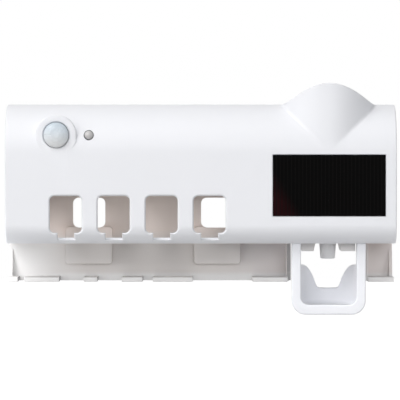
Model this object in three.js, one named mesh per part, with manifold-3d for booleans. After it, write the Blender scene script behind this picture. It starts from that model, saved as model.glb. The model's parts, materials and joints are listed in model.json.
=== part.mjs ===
// Wall-hung ultraviolet toothbrush holder with a solar panel and a toothpaste pump.
// Millimetres. X runs right, Z up, and the front faces -Y. The wall is the plane Y = 0.
import * as THREE from "three";
import { mergeVertices } from "three/addons/utils/BufferGeometryUtils.js";
import Module from "manifold-3d";

const wasm = await Module();
wasm.setup();

// Case
const caseWidth = 245;
const caseDepth = 54;
const caseTop = 40;
const coverHeight = 87.4;
const wall = 2.4;
const clearance = 0.3;
const rollRadius = 30;
const lipRadius = 12;
const endRounding = 1;
const past = 10;
const bite = 0.5;

const half = caseWidth / 2;
const front = -caseDepth;
const coverBottom = caseTop - coverHeight;
const coverRear = -0.6;
const innerFront = front + wall;
const rollY = front + rollRadius;
const rollZ = caseTop - rollRadius;
const lipY = front + lipRadius;
const lipZ = coverBottom + lipRadius;

// Collar that holds the paste tube upright
const tubeX = 80.4;
const collarRadius = 29.6;
const collarRise = 13.4;
const archRadius = 38.4;
const wellRear = -6;
const collarY = front + collarRadius;
const archZ = caseTop + collarRise - archRadius;

// Brush windows
const brushCount = 4;
const brushPitch = 30;
const firstBrushX = -84.6;
const windowWidth = 20;
const windowTop = caseTop - 57.3;
const windowShoulder = caseTop - 80.4;
const windowRounding = 3;
const neckWidth = 10.5;
const neckBottom = caseTop - 84.7;
const neckRear = front + 7;

// Motion sensor and indicator
const sensorX = -90.6;
const sensorZ = caseTop - 19.2;
const bossRadius = 12.8;
const lensRadius = 7.9;
const lensRise = 4.2;
const lensFlange = 9.8;
const lensWall = 1;
const canRadius = 4.6;
const canLength = 4.2;
const canEdge = 0.4;
const canBrim = 0.6;
const ledX = -70.2;
const ledZ = caseTop - 19.3;
const ledRadius = 2.5;
const ledRim = 2.9;
const ledTip = front + 0.2;
const ledBase = ledTip + 8.6;
const ledBrim = 1;
const ledLegRadius = 0.3;
const ledLegPitch = 2.54;

// Solar panel
const panelWidth = 70.4;
const panelHeight = 38.3;
const panelThick = 1.1;
const panelX = 80.2;
const panelTop = caseTop - 31.6;
const panelBottom = panelTop - panelHeight;
const panelRecess = panelThick + clearance;
const leadHoleX = panelX - panelWidth / 2 + 6;
const leadHoleZ = panelBottom + panelHeight / 2 + 8;
const leadHoleRadius = 2;

// Rear housing
const housingHalf = half - wall - clearance;
const housingTop = caseTop - wall - clearance;
const skirtHalf = half - clearance;
const skirtTop = coverBottom - clearance;
const skirtBottom = caseTop - 112.3;
const plateThick = 2.4;
const endWall = 2;
const endWallFront = -22;
const lipDepth = 26;
const lipThick = 3;
const gussetDepth = 8;
const notchDepth = 12;
const gussetTop = caseTop - 91;
const notchFrontHalf = 25.5;
const notchRearHalf = 22.9;
const notchWallHalf = 26.4;
const ribHalf = 24.4;
const notchTop = coverBottom;
const ribFront = -30;

// Hangers
const hangerX = [-71.5, 10.4];
const hangerWidth = 20.6;
const hangerTop = caseTop - 59.4;
const hangerBottom = caseTop - 78.4;
const hangerRounding = 3.5;
const padWidth = 30.4;
const padRise = 5;
const padTop = hangerBottom + 0.6;
const padBottom = caseTop - 101.7;
const padRounding = 2.2;
const padTopRounding = 2.5;
const pocketWall = 2;
const pocketRounding = 2.5;
const pocketRoof = 1;

// Gaps in the drain lip, as middle and width
const drainGaps = [
  { x: -114, width: 3.8 },
  { x: -82.1, width: 15.3 },
  { x: -57.9, width: 15.3 },
  { x: -33.7, width: 6.3 },
  { x: 13.7, width: 37.6 },
];

// Screws
const screwHead = 2.8;
const screwHeadLong = 1.8;
const screwShank = 1.3;
const screwLong = 10;
const drillLong = 14;
const slotHalf = 0.4;
const slotDeep = 0.7;
const screwSink = 2.1;
const padRadius = 4.5;
const padLong = 2.5;
const postRadius = 3.8;
const postRear = -plateThick - padLong - clearance;
const coverScrewX = half - 9.5;
const coverScrewHigh = caseTop - 20;
const coverScrewLow = caseTop - 68;
const dispenserScrewAcross = 12;
const dispenserScrewDrop = 5;

// Control board
const boardLeft = -108;
const boardRight = -58;
const boardBottom = 4;
const boardTop = 31;
const boardFront = -38.6;
const boardThick = 1.6;
const boardRear = boardFront + boardThick;
const boardScrewZ = 8;
const boardScrewInset = 5;
const boardScrewX = [boardLeft + boardScrewInset, boardRight - boardScrewInset];
const boardPostRadius = 3.2;
const chipX = -83;
const chipZ = 15.5;
const chipWidth = 10;
const chipHeight = 7;
const chipThick = 1.8;
const capacitorX = -66;
const capacitorZ = 24;
const capacitorRadius = 3.2;
const capacitorLong = 8;

// Brush bay ceiling and lamps
const trayLeft = -108;
const trayRight = 25;
const trayFront = -47;
const trayZ = caseTop - 46;
const trayThick = 2;
const trayLipDrop = 5;
const ledgeX = [-100, -40, 18];
const ledgeWidth = 4;
const ledgeDepth = 14;
const ledgeThick = 3;
const lampY = -28;
const lampBoardWidth = 10;
const lampBoardThick = 1.6;
const lampSize = 3.6;
const lampThick = 1.3;
const lampDome = 1.26;
const lampDomeRise = 0.6;
const lampEndGap = 10;
const channelWidth = 16;
const channelDrop = 6;
const channelWall = 1.5;
const channelEndGap = 2;

// Battery
const cellRadius = 9;
const cellLong = 65;
const cellX = 42;
const cellY = -20;
const cellBottom = -38;
const cellEdge = 0.8;
const cellCapRise = 1.6;
const cradleWall = 1.8;
const cradleLong = 34;
const cradleFootHalf = 7;
const cradleMouthHalf = 7.2;

// Paste pump
const bodyHalf = 17;
const bodyTop = caseTop - 48;
const bodyBottom = caseTop - 92.6;
const bodyFront = -33;
const bodyRear = -8;
const earFront = -40.5;
const earTop = -12;
const earBottom = -28;
const socketTop = bodyTop + 6;
const socketOuter = 14;
const sealRadius = 11;
const sealTall = 7.4;
const sealMouth = 8;
const sealThroat = 5;
const sealTaperFoot = 4.4;
const pasteY = -21;
const pasteRadius = 3;
const valveRadius = 5;
const valveTall = 7;
const valveSlit = 0.5;
const valveLip = 1.5;
const valveNeck = 3.2;
const valveMouth = 2.2;
const valveBrim = 1.4;
const valveTaper = 2.6;
const valveSeat = 2;
const pumpZ = caseTop - 75.5;
const pumpRadius = 6.3;
const pumpEnd = -17;
const nozzleTop = 5.6;
const nozzleTip = 4.7;
const nozzleBore = 2.4;
const nozzleLow = caseTop - 97.6;
const nozzleEdge = 0.5;
const spigotRadius = 4.2;
const spigotLong = 4.2;
const archTop = coverBottom + 1;
const footInner = 7.8;
const archNarrow = 6.6;
const archLeft = 1.5;

// Lever and its pin
const pivotY = -36.3;
const pivotZ = caseTop - 60;
const pinRadius = 1.5;
const pinInset = 0.5;
const legWidth = 5.8;
const leverHalf = 23.3;
const leverBottom = caseTop - 132.3;
const leverFront = -41.3;
const legDepth = 10;
const leverBar = 6.3;
const leverOuter = 8.8;
const leverInner = 5;
const legTopRounding = 0.5;
const eyeRadius = 5;
const cupWall = 2.2;
const cupTop = caseTop - 101;
const cupDip = caseTop - 116.2;
const cupDipHalf = 7.2;
const cupMouthHalf = 13;
const cupBendHalf = 11;
const cupBendDrop = 5;
const cupRearStart = 4;
const bridgeHalf = 3.5;
const bridgeRear = -38;

// Plunger and spring
const noseRadius = 6;
const noseTip = bridgeRear + clearance;
const stemRadius = 3.6;
const pistonRadius = 5.9;
const pistonFront = -32;
const pistonRear = -28.5;
const grooveDepth = 1.3;
const grooveWide = 1.8;
const ringSlack = 0.15;
const springWire = 0.4;
const springCoil = 4.6;
const springTurns = 5;
const turnSteps = 8;
const wireSides = 5;

// Solid helpers
function solid(geometry) {
  const bare = geometry.clone();
  bare.deleteAttribute("normal");
  bare.deleteAttribute("uv");
  const merged = mergeVertices(bare, 1e-4);
  const triVerts = new Uint32Array(merged.index.array);
  const vertProperties = merged.attributes.position.array;
  return new wasm.Manifold(new wasm.Mesh({ numProp: 3, vertProperties, triVerts }));
}

function join(first, ...others) {
  return others.reduce((whole, piece) => whole.add(piece), first);
}

function cut(first, ...tools) {
  return tools.reduce((whole, tool) => whole.subtract(tool), first);
}

function inOrder(a, b) {
  return [Math.min(a, b), Math.max(a, b)];
}

function block(x0, x1, y0, y1, z0, z1) {
  const box = new THREE.BoxGeometry(x1 - x0, y1 - y0, z1 - z0);
  return solid(box.translate((x0 + x1) / 2, (y0 + y1) / 2, (z0 + z1) / 2));
}

function rodX(radius, x0, x1, y, z, sides = 24) {
  const rod = new THREE.CylinderGeometry(radius, radius, x1 - x0, sides).rotateZ(-Math.PI / 2);
  return solid(rod.translate((x0 + x1) / 2, y, z));
}

function rodY(radius, x, y0, y1, z, sides = 24) {
  const rod = new THREE.CylinderGeometry(radius, radius, y1 - y0, sides);
  return solid(rod.translate(x, (y0 + y1) / 2, z));
}

function rodZ(radius, x, y, z0, z1, sides = 24) {
  const rod = new THREE.CylinderGeometry(radius, radius, z1 - z0, sides).rotateX(Math.PI / 2);
  return solid(rod.translate(x, y, (z0 + z1) / 2));
}

// A shape drawn in Y and Z, drawn out along X, with its end edges rounded where asked.
function alongX(shape, x0, x1, rounding = 0, curveSegments = 8) {
  const bevel = { bevelThickness: rounding, bevelSize: rounding, bevelOffset: -rounding, bevelSegments: 2 };
  const depth = x1 - x0 - 2 * rounding;
  const options = { depth, curveSegments, bevelEnabled: rounding > 0, ...bevel };
  const turn = new THREE.Matrix4().makeBasis(
    new THREE.Vector3(0, 1, 0),
    new THREE.Vector3(0, 0, 1),
    new THREE.Vector3(1, 0, 0),
  );
  const drawn = new THREE.ExtrudeGeometry(shape, options);
  return solid(drawn.applyMatrix4(turn).translate(x0 + rounding, 0, 0));
}

// A shape drawn in X and Z, drawn out along Y.
function alongY(shape, y0, y1, curveSegments = 2) {
  const drawn = new THREE.ExtrudeGeometry(shape, { depth: y1 - y0, curveSegments, bevelEnabled: false });
  return solid(drawn.rotateX(Math.PI / 2).translate(0, y1, 0));
}

// A shape drawn in X and Y, drawn out along Z.
function alongZ(shape, z0, z1, curveSegments = 14) {
  const drawn = new THREE.ExtrudeGeometry(shape, { depth: z1 - z0, curveSegments, bevelEnabled: false });
  return solid(drawn.translate(0, 0, z0));
}

// A turned piece: pairs of radius and height, from the axis at the foot to the axis at the top.
function turned(profile, sides = 24) {
  const points = profile.map(([radius, height]) => new THREE.Vector2(radius, height));
  return new THREE.LatheGeometry(points, sides);
}

function turnedUp(profile, x, y, sides = 24) {
  return solid(turned(profile, sides).rotateX(Math.PI / 2).translate(x, y, 0));
}

// Turned round an axis along Y: the profile's heights are places on Y.
function turnedBack(profile, x, z, sides = 24) {
  return solid(turned(profile, sides).translate(x, 0, z));
}

function roundedBox(x0, x1, z0, z1, lowRadius, highRadius) {
  const shape = new THREE.Shape();
  shape.moveTo(x0 + lowRadius, z0);
  shape.lineTo(x1 - lowRadius, z0);
  shape.absarc(x1 - lowRadius, z0 + lowRadius, lowRadius, -Math.PI / 2, 0);
  shape.lineTo(x1, z1 - highRadius);
  shape.absarc(x1 - highRadius, z1 - highRadius, highRadius, 0, Math.PI / 2);
  shape.lineTo(x0 + highRadius, z1);
  shape.absarc(x0 + highRadius, z1 - highRadius, highRadius, Math.PI / 2, Math.PI);
  shape.lineTo(x0, z0 + lowRadius);
  shape.absarc(x0 + lowRadius, z0 + lowRadius, lowRadius, Math.PI, 1.5 * Math.PI);
  return shape;
}

// A round wire of few sides, drawn along a path.
function wire(path, radius, steps, sides = 5) {
  const ring = Array.from({ length: sides }, (_, i) => {
    const turn = (i / sides) * 2 * Math.PI;
    return new THREE.Vector2(radius * Math.cos(turn), radius * Math.sin(turn));
  });
  const options = { steps, bevelEnabled: false, extrudePath: path };
  return solid(new THREE.ExtrudeGeometry(new THREE.Shape(ring), options));
}

function route(...points) {
  return new THREE.CatmullRomCurve3(points.map((point) => new THREE.Vector3(...point)));
}

// Materials
function finish(color, roughness, metalness = 0, extra = {}) {
  return () => new THREE.MeshStandardMaterial({ color, roughness, metalness, ...extra });
}
const whitePlastic = finish(0xf2f3f6, 0.35);
const innerPlastic = finish(0xe9e8e6, 0.45);
const cellBlack = finish(0x0b090b, 0.2);
const lensWhite = finish(0xd3dde6, 0.3);
const clearPlastic = finish(0xc4c8cc, 0.15, 0, { transparent: true, opacity: 0.6 });
const boardGreen = finish(0x1f6b3a, 0.5);
const chipBlack = finish(0x151515, 0.5);
const bareSteel = finish(0xb9bcc0, 0.3, 1);
const softGrey = finish(0xa9abae, 0.7);
const softBlack = finish(0x222222, 0.8);
const wrapBlue = finish(0x2b5fa8, 0.4);
const leadRed = finish(0xb02a22, 0.5);
const leadGrey = finish(0x55585c, 0.5);
const lampCeramic = finish(0xe6dfc8, 0.4);

const group = new THREE.Group();
group.name = "ultraviolet_toothbrush_holder";

function place(name, body, material) {
  const mesh = body.getMesh();
  const geometry = new THREE.BufferGeometry();
  geometry.setAttribute("position", new THREE.BufferAttribute(new Float32Array(mesh.vertProperties), 3));
  geometry.setIndex(new THREE.BufferAttribute(new Uint32Array(mesh.triVerts), 1));
  geometry.computeVertexNormals();
  const piece = new THREE.Mesh(geometry, material());
  piece.name = name;
  group.add(piece);
}

const brushX = Array.from({ length: brushCount }, (_, i) => firstBrushX + i * brushPitch);

// Front cover: one section drawn out along the case, hollowed from behind and below
function coverSection(inset, rear, floor) {
  const shape = new THREE.Shape();
  shape.moveTo(rear, floor);
  shape.lineTo(rear, caseTop - inset);
  shape.lineTo(rollY, caseTop - inset);
  shape.absarc(rollY, rollZ, rollRadius - inset, Math.PI / 2, Math.PI);
  shape.lineTo(front + inset, lipZ);
  shape.absarc(lipY, lipZ, lipRadius - inset, Math.PI, 1.5 * Math.PI);
  shape.lineTo(lipY, floor);
  return shape;
}

function halfDisc(radius) {
  const shape = new THREE.Shape();
  shape.absarc(tubeX, collarY, radius, Math.PI, 2 * Math.PI);
  return shape;
}

function archOutline() {
  const shape = new THREE.Shape();
  const reach = Math.asin(collarRadius / archRadius);
  shape.moveTo(tubeX - collarRadius, rollZ);
  shape.lineTo(tubeX + collarRadius, rollZ);
  shape.absarc(tubeX, archZ, archRadius, Math.PI / 2 - reach, Math.PI / 2 + reach);
  return shape;
}

// A brush window: a rounded head hole whose floor narrows to the slot for the neck
function windowOutline(x) {
  const side = windowWidth / 2;
  const neck = neckWidth / 2;
  const r = windowRounding;
  const shape = new THREE.Shape();
  shape.moveTo(x - neck, neckBottom);
  shape.lineTo(x + neck, neckBottom);
  shape.lineTo(x + neck, windowShoulder);
  shape.lineTo(x + side - r, windowShoulder);
  shape.absarc(x + side - r, windowShoulder + r, r, -Math.PI / 2, 0);
  shape.absarc(x + side - r, windowTop - r, r, 0, Math.PI / 2);
  shape.absarc(x - side + r, windowTop - r, r, Math.PI / 2, Math.PI);
  shape.absarc(x - side + r, windowShoulder + r, r, Math.PI, 1.5 * Math.PI);
  shape.lineTo(x - neck, windowShoulder);
  return shape;
}

const coverScrews = [
  { x: -coverScrewX, z: coverScrewHigh },
  { x: coverScrewX, z: coverScrewHigh },
  { x: -coverScrewX, z: coverScrewLow },
  { x: coverScrewX, z: coverScrewLow },
];

function buildCover() {
  const filled = alongX(coverSection(0, coverRear, coverBottom), -half, half, endRounding);
  const collar = alongZ(halfDisc(collarRadius), rollZ, caseTop + collarRise + past);
  const arched = collar.intersect(alongY(archOutline(), front - past, 0, 8));
  const boss = rodY(bossRadius, sensorX, front, rollY, sensorZ, 36);
  const hollow = alongX(coverSection(wall, past, coverBottom - past), -half + wall, half - wall);
  const well = alongZ(halfDisc(collarRadius - wall), rollZ - past, caseTop + collarRise + past);
  const mouth = block(
    tubeX - collarRadius + wall,
    tubeX + collarRadius - wall,
    collarY - clearance,
    wellRear,
    caseTop - 2 * wall,
    caseTop + past,
  );
  let shell = cut(join(filled, arched, boss), hollow, well, mouth);
  shell = cut(shell, rodY(bossRadius - wall, sensorX, innerFront, rollY, sensorZ, 28));
  for (const screw of coverScrews) {
    const reach = coverSection(wall / 2, past, coverBottom - past);
    const post = rodY(postRadius, screw.x, front, postRear, screw.z, 16);
    shell = shell.add(post.intersect(alongX(reach, -half, half)));
    const drill = rodY(screwShank + clearance, screw.x, postRear - drillLong, 0, screw.z, 12);
    shell = shell.subtract(drill);
  }
  const windows = brushX.map((x) => alongY(windowOutline(x), front - past, neckRear, 3));
  const lensHole = rodY(lensRadius + clearance, sensorX, front - past, innerFront + bite, sensorZ, 32);
  const ledHole = rodY(ledRim + clearance, ledX, front - past, ledBase, ledZ, 20);
  const recess = block(
    panelX - panelWidth / 2 - clearance,
    panelX + panelWidth / 2 + clearance,
    front - past,
    front + panelRecess,
    panelBottom - clearance,
    panelTop + clearance,
  );
  const leadHole = rodY(leadHoleRadius, leadHoleX, front - past, innerFront + bite, leadHoleZ, 12);
  return cut(shell, ...windows, lensHole, ledHole, recess, leadHole);
}
place("front_cover", buildCover(), whitePlastic);

// Rear housing
// The web at each end of the skirt, seen from the side: it grows from the plate down to the drain lip
function gussetOutline() {
  const shape = new THREE.Shape();
  shape.moveTo(0, skirtBottom);
  shape.lineTo(-gussetDepth, skirtBottom);
  shape.lineTo(-gussetDepth, skirtBottom + lipThick);
  shape.lineTo(-plateThick, gussetTop);
  shape.lineTo(0, gussetTop);
  return shape;
}

// The lever's notch in the skirt, seen from above: its sides close in towards the wall
function notchOutline() {
  const shape = new THREE.Shape();
  shape.moveTo(tubeX - notchFrontHalf, -caseDepth);
  shape.lineTo(tubeX + notchFrontHalf, -caseDepth);
  shape.lineTo(tubeX + notchFrontHalf, -notchDepth);
  shape.lineTo(tubeX + notchRearHalf, 0);
  shape.lineTo(tubeX + notchRearHalf, past);
  shape.lineTo(tubeX - notchRearHalf, past);
  shape.lineTo(tubeX - notchRearHalf, 0);
  shape.lineTo(tubeX - notchFrontHalf, -notchDepth);
  return shape;
}

const dispenserScrews = [-1, 1].map((side) => ({
  x: tubeX + side * dispenserScrewAcross,
  z: bodyTop - dispenserScrewDrop,
}));

function buildHousing() {
  const plateFront = -plateThick;
  const ledge = skirtTop - wall;
  let body = block(-housingHalf, housingHalf, plateFront, 0, ledge, housingTop);
  body = body.add(block(-skirtHalf, skirtHalf, plateFront, 0, skirtBottom, skirtTop));
  for (const side of [-1, 1]) {
    const endSpan = inOrder(side * housingHalf, side * (housingHalf - endWall));
    body = body.add(block(...endSpan, endWallFront, 0, skirtTop, housingTop - rollRadius / 2));
    const gussetSpan = inOrder(side * skirtHalf, side * (skirtHalf - endWall));
    body = body.add(alongX(gussetOutline(), ...gussetSpan));
    const ribOuter = tubeX + side * (ribHalf + endWall);
    const ribSpan = inOrder(tubeX + side * ribHalf, ribOuter);
    body = body.add(block(...ribSpan, ribFront, 0, notchTop, housingTop - wall));
    const notchSpan = inOrder(tubeX + side * notchRearHalf, tubeX + side * notchWallHalf);
    body = body.add(block(...notchSpan, -notchDepth, 0, skirtBottom, skirtTop));
  }
  let lip = block(-skirtHalf, skirtHalf, -lipDepth, 0, skirtBottom, skirtBottom + lipThick);
  for (const gap of drainGaps) {
    const low = gap.x - gap.width / 2;
    const high = gap.x + gap.width / 2;
    const gapCut = block(low, high, -lipDepth - past, plateFront, skirtBottom - past, skirtBottom + past);
    lip = lip.subtract(gapCut);
  }
  body = body.add(lip);
  for (const x of hangerX) {
    const side = padWidth / 2;
    const inner = side - pocketWall;
    const pad = roundedBox(x - side, x + side, padBottom, padTop, padRounding, padTopRounding);
    const inside = roundedBox(
      x - inner,
      x + inner,
      padBottom + pocketWall,
      padTop + past,
      pocketRounding,
      padTopRounding,
    );
    body = body.add(alongY(pad, plateFront - padRise, 0));
    const hole = roundedBox(
      x - hangerWidth / 2,
      x + hangerWidth / 2,
      hangerBottom,
      hangerTop,
      hangerRounding,
      hangerRounding,
    );
    const pocketFront = plateFront - padRise + pocketWall;
    const pocketTop = hangerBottom - pocketRoof;
    const pocket = alongY(inside, pocketFront, past).intersect(
      block(x - side, x + side, -caseDepth, past, padBottom, pocketTop),
    );
    const throatHalf = hangerWidth / 2 - hangerRounding;
    const throat = block(
      x - throatHalf,
      x + throatHalf,
      pocketFront,
      past,
      pocketTop - bite,
      hangerBottom + bite,
    );
    body = cut(body, alongY(hole, -caseDepth, past, 3), pocket, throat);
  }
  for (const screw of [...coverScrews, ...dispenserScrews]) {
    body = body.add(rodY(padRadius, screw.x, plateFront - padLong, -bite, screw.z, 16));
    body = body.subtract(rodY(screwHead + clearance, screw.x, -screwSink, past, screw.z, 16));
    body = body.subtract(rodY(screwShank + clearance, screw.x, -caseDepth / 2, past, screw.z, 12));
  }
  for (const x of boardScrewX) {
    const rear = boardRear + clearance;
    body = body.add(rodY(boardPostRadius, x, rear, -bite, boardScrewZ, 14));
    body = body.subtract(rodY(screwShank + clearance, x, rear - bite, rear + drillLong, boardScrewZ, 12));
  }
  for (const x of ledgeX) {
    const low = x - ledgeWidth / 2;
    const top = trayZ - clearance;
    body = body.add(block(low, low + ledgeWidth, plateFront - ledgeDepth, -bite, top - ledgeThick, top));
  }
  return body.subtract(alongZ(notchOutline(), skirtBottom - past, notchTop));
}
place("rear_housing", buildHousing(), innerPlastic);

// Solar panel
place(
  "solar_panel",
  block(
    panelX - panelWidth / 2,
    panelX + panelWidth / 2,
    front,
    front + panelThick,
    panelBottom,
    panelTop,
  ),
  cellBlack,
);

// Motion sensor: a hollow domed lens with a flange behind the boss, and the metal can on the board
function buildLens() {
  const seat = innerFront + clearance;
  const profile = [];
  const steps = 5;
  const arc = (radius, rise, base) =>
    Array.from({ length: steps + 1 }, (_, i) => {
      const turn = (i / steps) * (Math.PI / 2);
      return [radius * Math.sin(turn), base - rise * Math.cos(turn)];
    });
  profile.push(...arc(lensRadius, lensRise, front));
  profile.push([lensRadius, seat], [lensFlange, seat], [lensFlange, seat + lensWall]);
  profile.push([lensRadius - lensWall, seat + lensWall]);
  profile.push(...arc(lensRadius - lensWall, lensRise - lensWall, front).reverse());
  return turnedBack(profile, sensorX, sensorZ, 28);
}
place("pir_lens", buildLens(), lensWhite);

const canRear = boardFront - clearance;
const canFlange = canRadius + bite;
const canProfile = [
  [0, canRear - canLength],
  [canRadius - canEdge, canRear - canLength],
  [canRadius, canRear - canLength + canEdge],
  [canRadius, canRear - canBrim],
  [canFlange, canRear - canBrim],
  [canFlange, canRear],
  [0, canRear],
];
place("pir_sensor", turnedBack(canProfile, sensorX, sensorZ, 20), bareSteel);

// Indicator: a domed lamp with a rim and two legs down to the board
function buildIndicator() {
  const steps = 4;
  const dome = Array.from({ length: steps + 1 }, (_, i) => {
    const turn = (i / steps) * (Math.PI / 2);
    return [ledRadius * Math.sin(turn), ledTip + ledRadius * (1 - Math.cos(turn))];
  });
  const rim = [[ledRadius, ledBase - ledBrim], [ledRim, ledBase - ledBrim], [ledRim, ledBase], [0, ledBase]];
  const lamp = turnedBack([...dome, ...rim], ledX, ledZ, 16);
  const legs = [-ledLegPitch / 2, ledLegPitch / 2].map((across) =>
    rodY(ledLegRadius, ledX + across, ledBase - bite, canRear, ledZ, 6),
  );
  return join(lamp, ...legs);
}
place("indicator_led", buildIndicator(), clearPlastic);

// Control board with its chip, capacitor and screws
function buildBoard() {
  const plate = block(boardLeft, boardRight, boardFront, boardRear, boardBottom, boardTop);
  const holes = boardScrewX.map((x) =>
    rodY(screwShank + clearance, x, boardFront - bite, boardRear + bite, boardScrewZ, 12),
  );
  return cut(plate, ...holes);
}
place("control_board", buildBoard(), boardGreen);
const chipRear = boardRear + clearance;
place(
  "control_chip",
  block(
    chipX - chipWidth / 2,
    chipX + chipWidth / 2,
    chipRear,
    chipRear + chipThick,
    chipZ - chipHeight / 2,
    chipZ + chipHeight / 2,
  ),
  chipBlack,
);
const capacitorRear = chipRear + capacitorLong;
place(
  "board_capacitor",
  rodY(capacitorRadius, capacitorX, chipRear, capacitorRear, capacitorZ, 16),
  chipBlack,
);

function buildScrew(x, z, headRear, direction) {
  const head = headRear + direction * screwHeadLong;
  const tip = headRear + direction * (screwHeadLong + screwLong);
  const body = join(
    rodY(screwHead, x, ...inOrder(headRear, head), z, 16),
    rodY(screwShank, x, ...inOrder(head - direction * bite, tip), z, 10),
  );
  const slotDepth = inOrder(headRear - direction, headRear + direction * slotDeep);
  const slot = block(x - screwHead, x + screwHead, ...slotDepth, z - slotHalf, z + slotHalf);
  return body.subtract(slot);
}
boardScrewX.forEach((x, i) => {
  const body = buildScrew(x, boardScrewZ, boardFront - clearance - screwHeadLong, 1);
  place(`board_screw_${i + 1}`, body, bareSteel);
});
coverScrews.forEach((screw, i) => {
  place(`cover_screw_${i + 1}`, buildScrew(screw.x, screw.z, -clearance / 2, -1), bareSteel);
});
dispenserScrews.forEach((screw, i) => {
  place(`dispenser_screw_${i + 1}`, buildScrew(screw.x, screw.z, -clearance / 2, -1), bareSteel);
});

// Brush bay ceiling with its front drip edge, and the lamp strip under it
const trayTop = trayZ + trayThick;
const trayRear = -plateThick - clearance;
function buildTray() {
  const plate = block(trayLeft, trayRight, trayFront, trayRear, trayZ, trayTop);
  const edge = block(trayLeft, trayRight, trayFront, trayFront + trayThick, trayZ - trayLipDrop, trayTop);
  return plate.add(edge);
}
place("lamp_tray", buildTray(), innerPlastic);

const lampLeft = brushX[0] - lampEndGap;
const lampRight = brushX[brushCount - 1] + lampEndGap;
const lampBoardTop = trayZ - clearance;
const lampBoardLow = lampBoardTop - lampBoardThick;
const lampHalf = lampBoardWidth / 2;
place(
  "uv_lamp_board",
  block(lampLeft, lampRight, lampY - lampHalf, lampY + lampHalf, lampBoardLow, lampBoardTop),
  boardGreen,
);
brushX.forEach((x, i) => {
  const top = lampBoardLow - clearance;
  const side = lampSize / 2;
  const base = block(x - side, x + side, lampY - side, lampY + side, top - lampThick, top);
  const face = top - lampThick;
  const dome = rodZ(lampDome, x, lampY, face - lampDomeRise, face + bite, 12);
  place(`uv_led_${i + 1}`, base.add(dome), lampCeramic);
});
function channelOutline() {
  const side = channelWidth / 2;
  const low = lampBoardTop - channelDrop;
  const shape = new THREE.Shape();
  shape.moveTo(lampY - side, lampBoardTop);
  shape.lineTo(lampY - side, low + channelWall);
  shape.absarc(lampY - side + channelWall, low + channelWall, channelWall, Math.PI, 1.5 * Math.PI);
  shape.absarc(lampY + side - channelWall, low + channelWall, channelWall, -Math.PI / 2, 0);
  shape.lineTo(lampY + side, lampBoardTop);
  shape.lineTo(lampY + side - channelWall, lampBoardTop);
  shape.lineTo(lampY + side - channelWall, low + channelWall);
  shape.lineTo(lampY - side + channelWall, low + channelWall);
  shape.lineTo(lampY - side + channelWall, lampBoardTop);
  return shape;
}
const channelLeft = lampLeft - channelEndGap;
const channelRight = lampRight + channelEndGap;
place("lamp_window", alongX(channelOutline(), channelLeft, channelRight, 0, 3), clearPlastic);

// Battery cell and its cradle
const cellTop = cellBottom + cellLong;
place(
  "battery_cell",
  turnedUp(
    [
      [0, cellBottom],
      [cellRadius - cellEdge, cellBottom],
      [cellRadius, cellBottom + cellEdge],
      [cellRadius, cellTop - cellCapRise - cellEdge],
      [cellRadius - cellEdge, cellTop - cellCapRise],
      [cellRadius / 3, cellTop - cellCapRise],
      [cellRadius / 3, cellTop],
      [0, cellTop],
    ],
    cellX,
    cellY,
    28,
  ),
  wrapBlue,
);
function buildCradle() {
  const bore = cellRadius + clearance;
  const outer = bore + cradleWall;
  const low = cellBottom + (cellLong - cradleLong) / 2;
  const high = low + cradleLong;
  const rear = -plateThick - clearance;
  const foot = block(cellX - cradleFootHalf, cellX + cradleFootHalf, cellY, rear, low, high);
  const ring = rodZ(outer, cellX, cellY, low, high, 28).add(foot);
  const mouth = block(
    cellX - cradleMouthHalf,
    cellX + cradleMouthHalf,
    cellY - 2 * outer,
    cellY,
    low - bite,
    high + bite,
  );
  return cut(ring, rodZ(bore, cellX, cellY, low - bite, high + bite, 28), mouth);
}
place("battery_cradle", buildCradle(), innerPlastic);

// Paste pump body
const spigotTop = archTop - clearance + spigotLong;
function buildDispenser() {
  const left = tubeX - bodyHalf;
  const right = tubeX + bodyHalf;
  let body = block(left, right, bodyFront, bodyRear, bodyBottom, bodyTop);
  body = body.add(block(left, right, earFront, bodyFront + bite, earBottom, earTop));
  body = body.add(rodZ(socketOuter, tubeX, collarY, bodyTop - bite, socketTop, 32));
  for (const screw of dispenserScrews) {
    body = body.add(rodY(postRadius, screw.x, bodyRear - bite, postRear, screw.z, 16));
    body = body.subtract(rodY(screwShank + clearance, screw.x, postRear - drillLong, 0, screw.z, 12));
  }
  const socketFloor = socketTop - sealTall - clearance;
  const valveFloor = socketFloor - valveSeat;
  const arch = new THREE.Shape();
  arch.moveTo(tubeX - footInner - archLeft, bodyBottom - past);
  arch.lineTo(tubeX + footInner, bodyBottom - past);
  arch.lineTo(tubeX + footInner, bodyBottom);
  arch.lineTo(tubeX + archNarrow, archTop);
  arch.lineTo(tubeX - archNarrow - archLeft, archTop);
  arch.lineTo(tubeX - footInner - archLeft, bodyBottom);
  return cut(
    body,
    rodZ(sealRadius + clearance, tubeX, collarY, socketFloor, socketTop + bite, 32),
    rodZ(valveRadius + clearance, tubeX, pasteY, valveFloor, socketFloor + bite, 20),
    rodZ(valveNeck + clearance, tubeX, pasteY, pumpZ, valveFloor + bite, 20),
    rodZ(pasteRadius, tubeX, pasteY, archTop, pumpZ, 20),
    rodY(pumpRadius, tubeX, earFront - bite, pumpEnd, pumpZ, 28),
    rodZ(spigotRadius + clearance, tubeX, pasteY, archTop - bite, spigotTop + clearance, 24),
    alongY(arch, earFront - past, 0),
    rodX(pinRadius + clearance, left - bite, right + bite, pivotY, pivotZ, 16),
  );
}
place("dispenser_body", buildDispenser(), innerPlastic);

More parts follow.
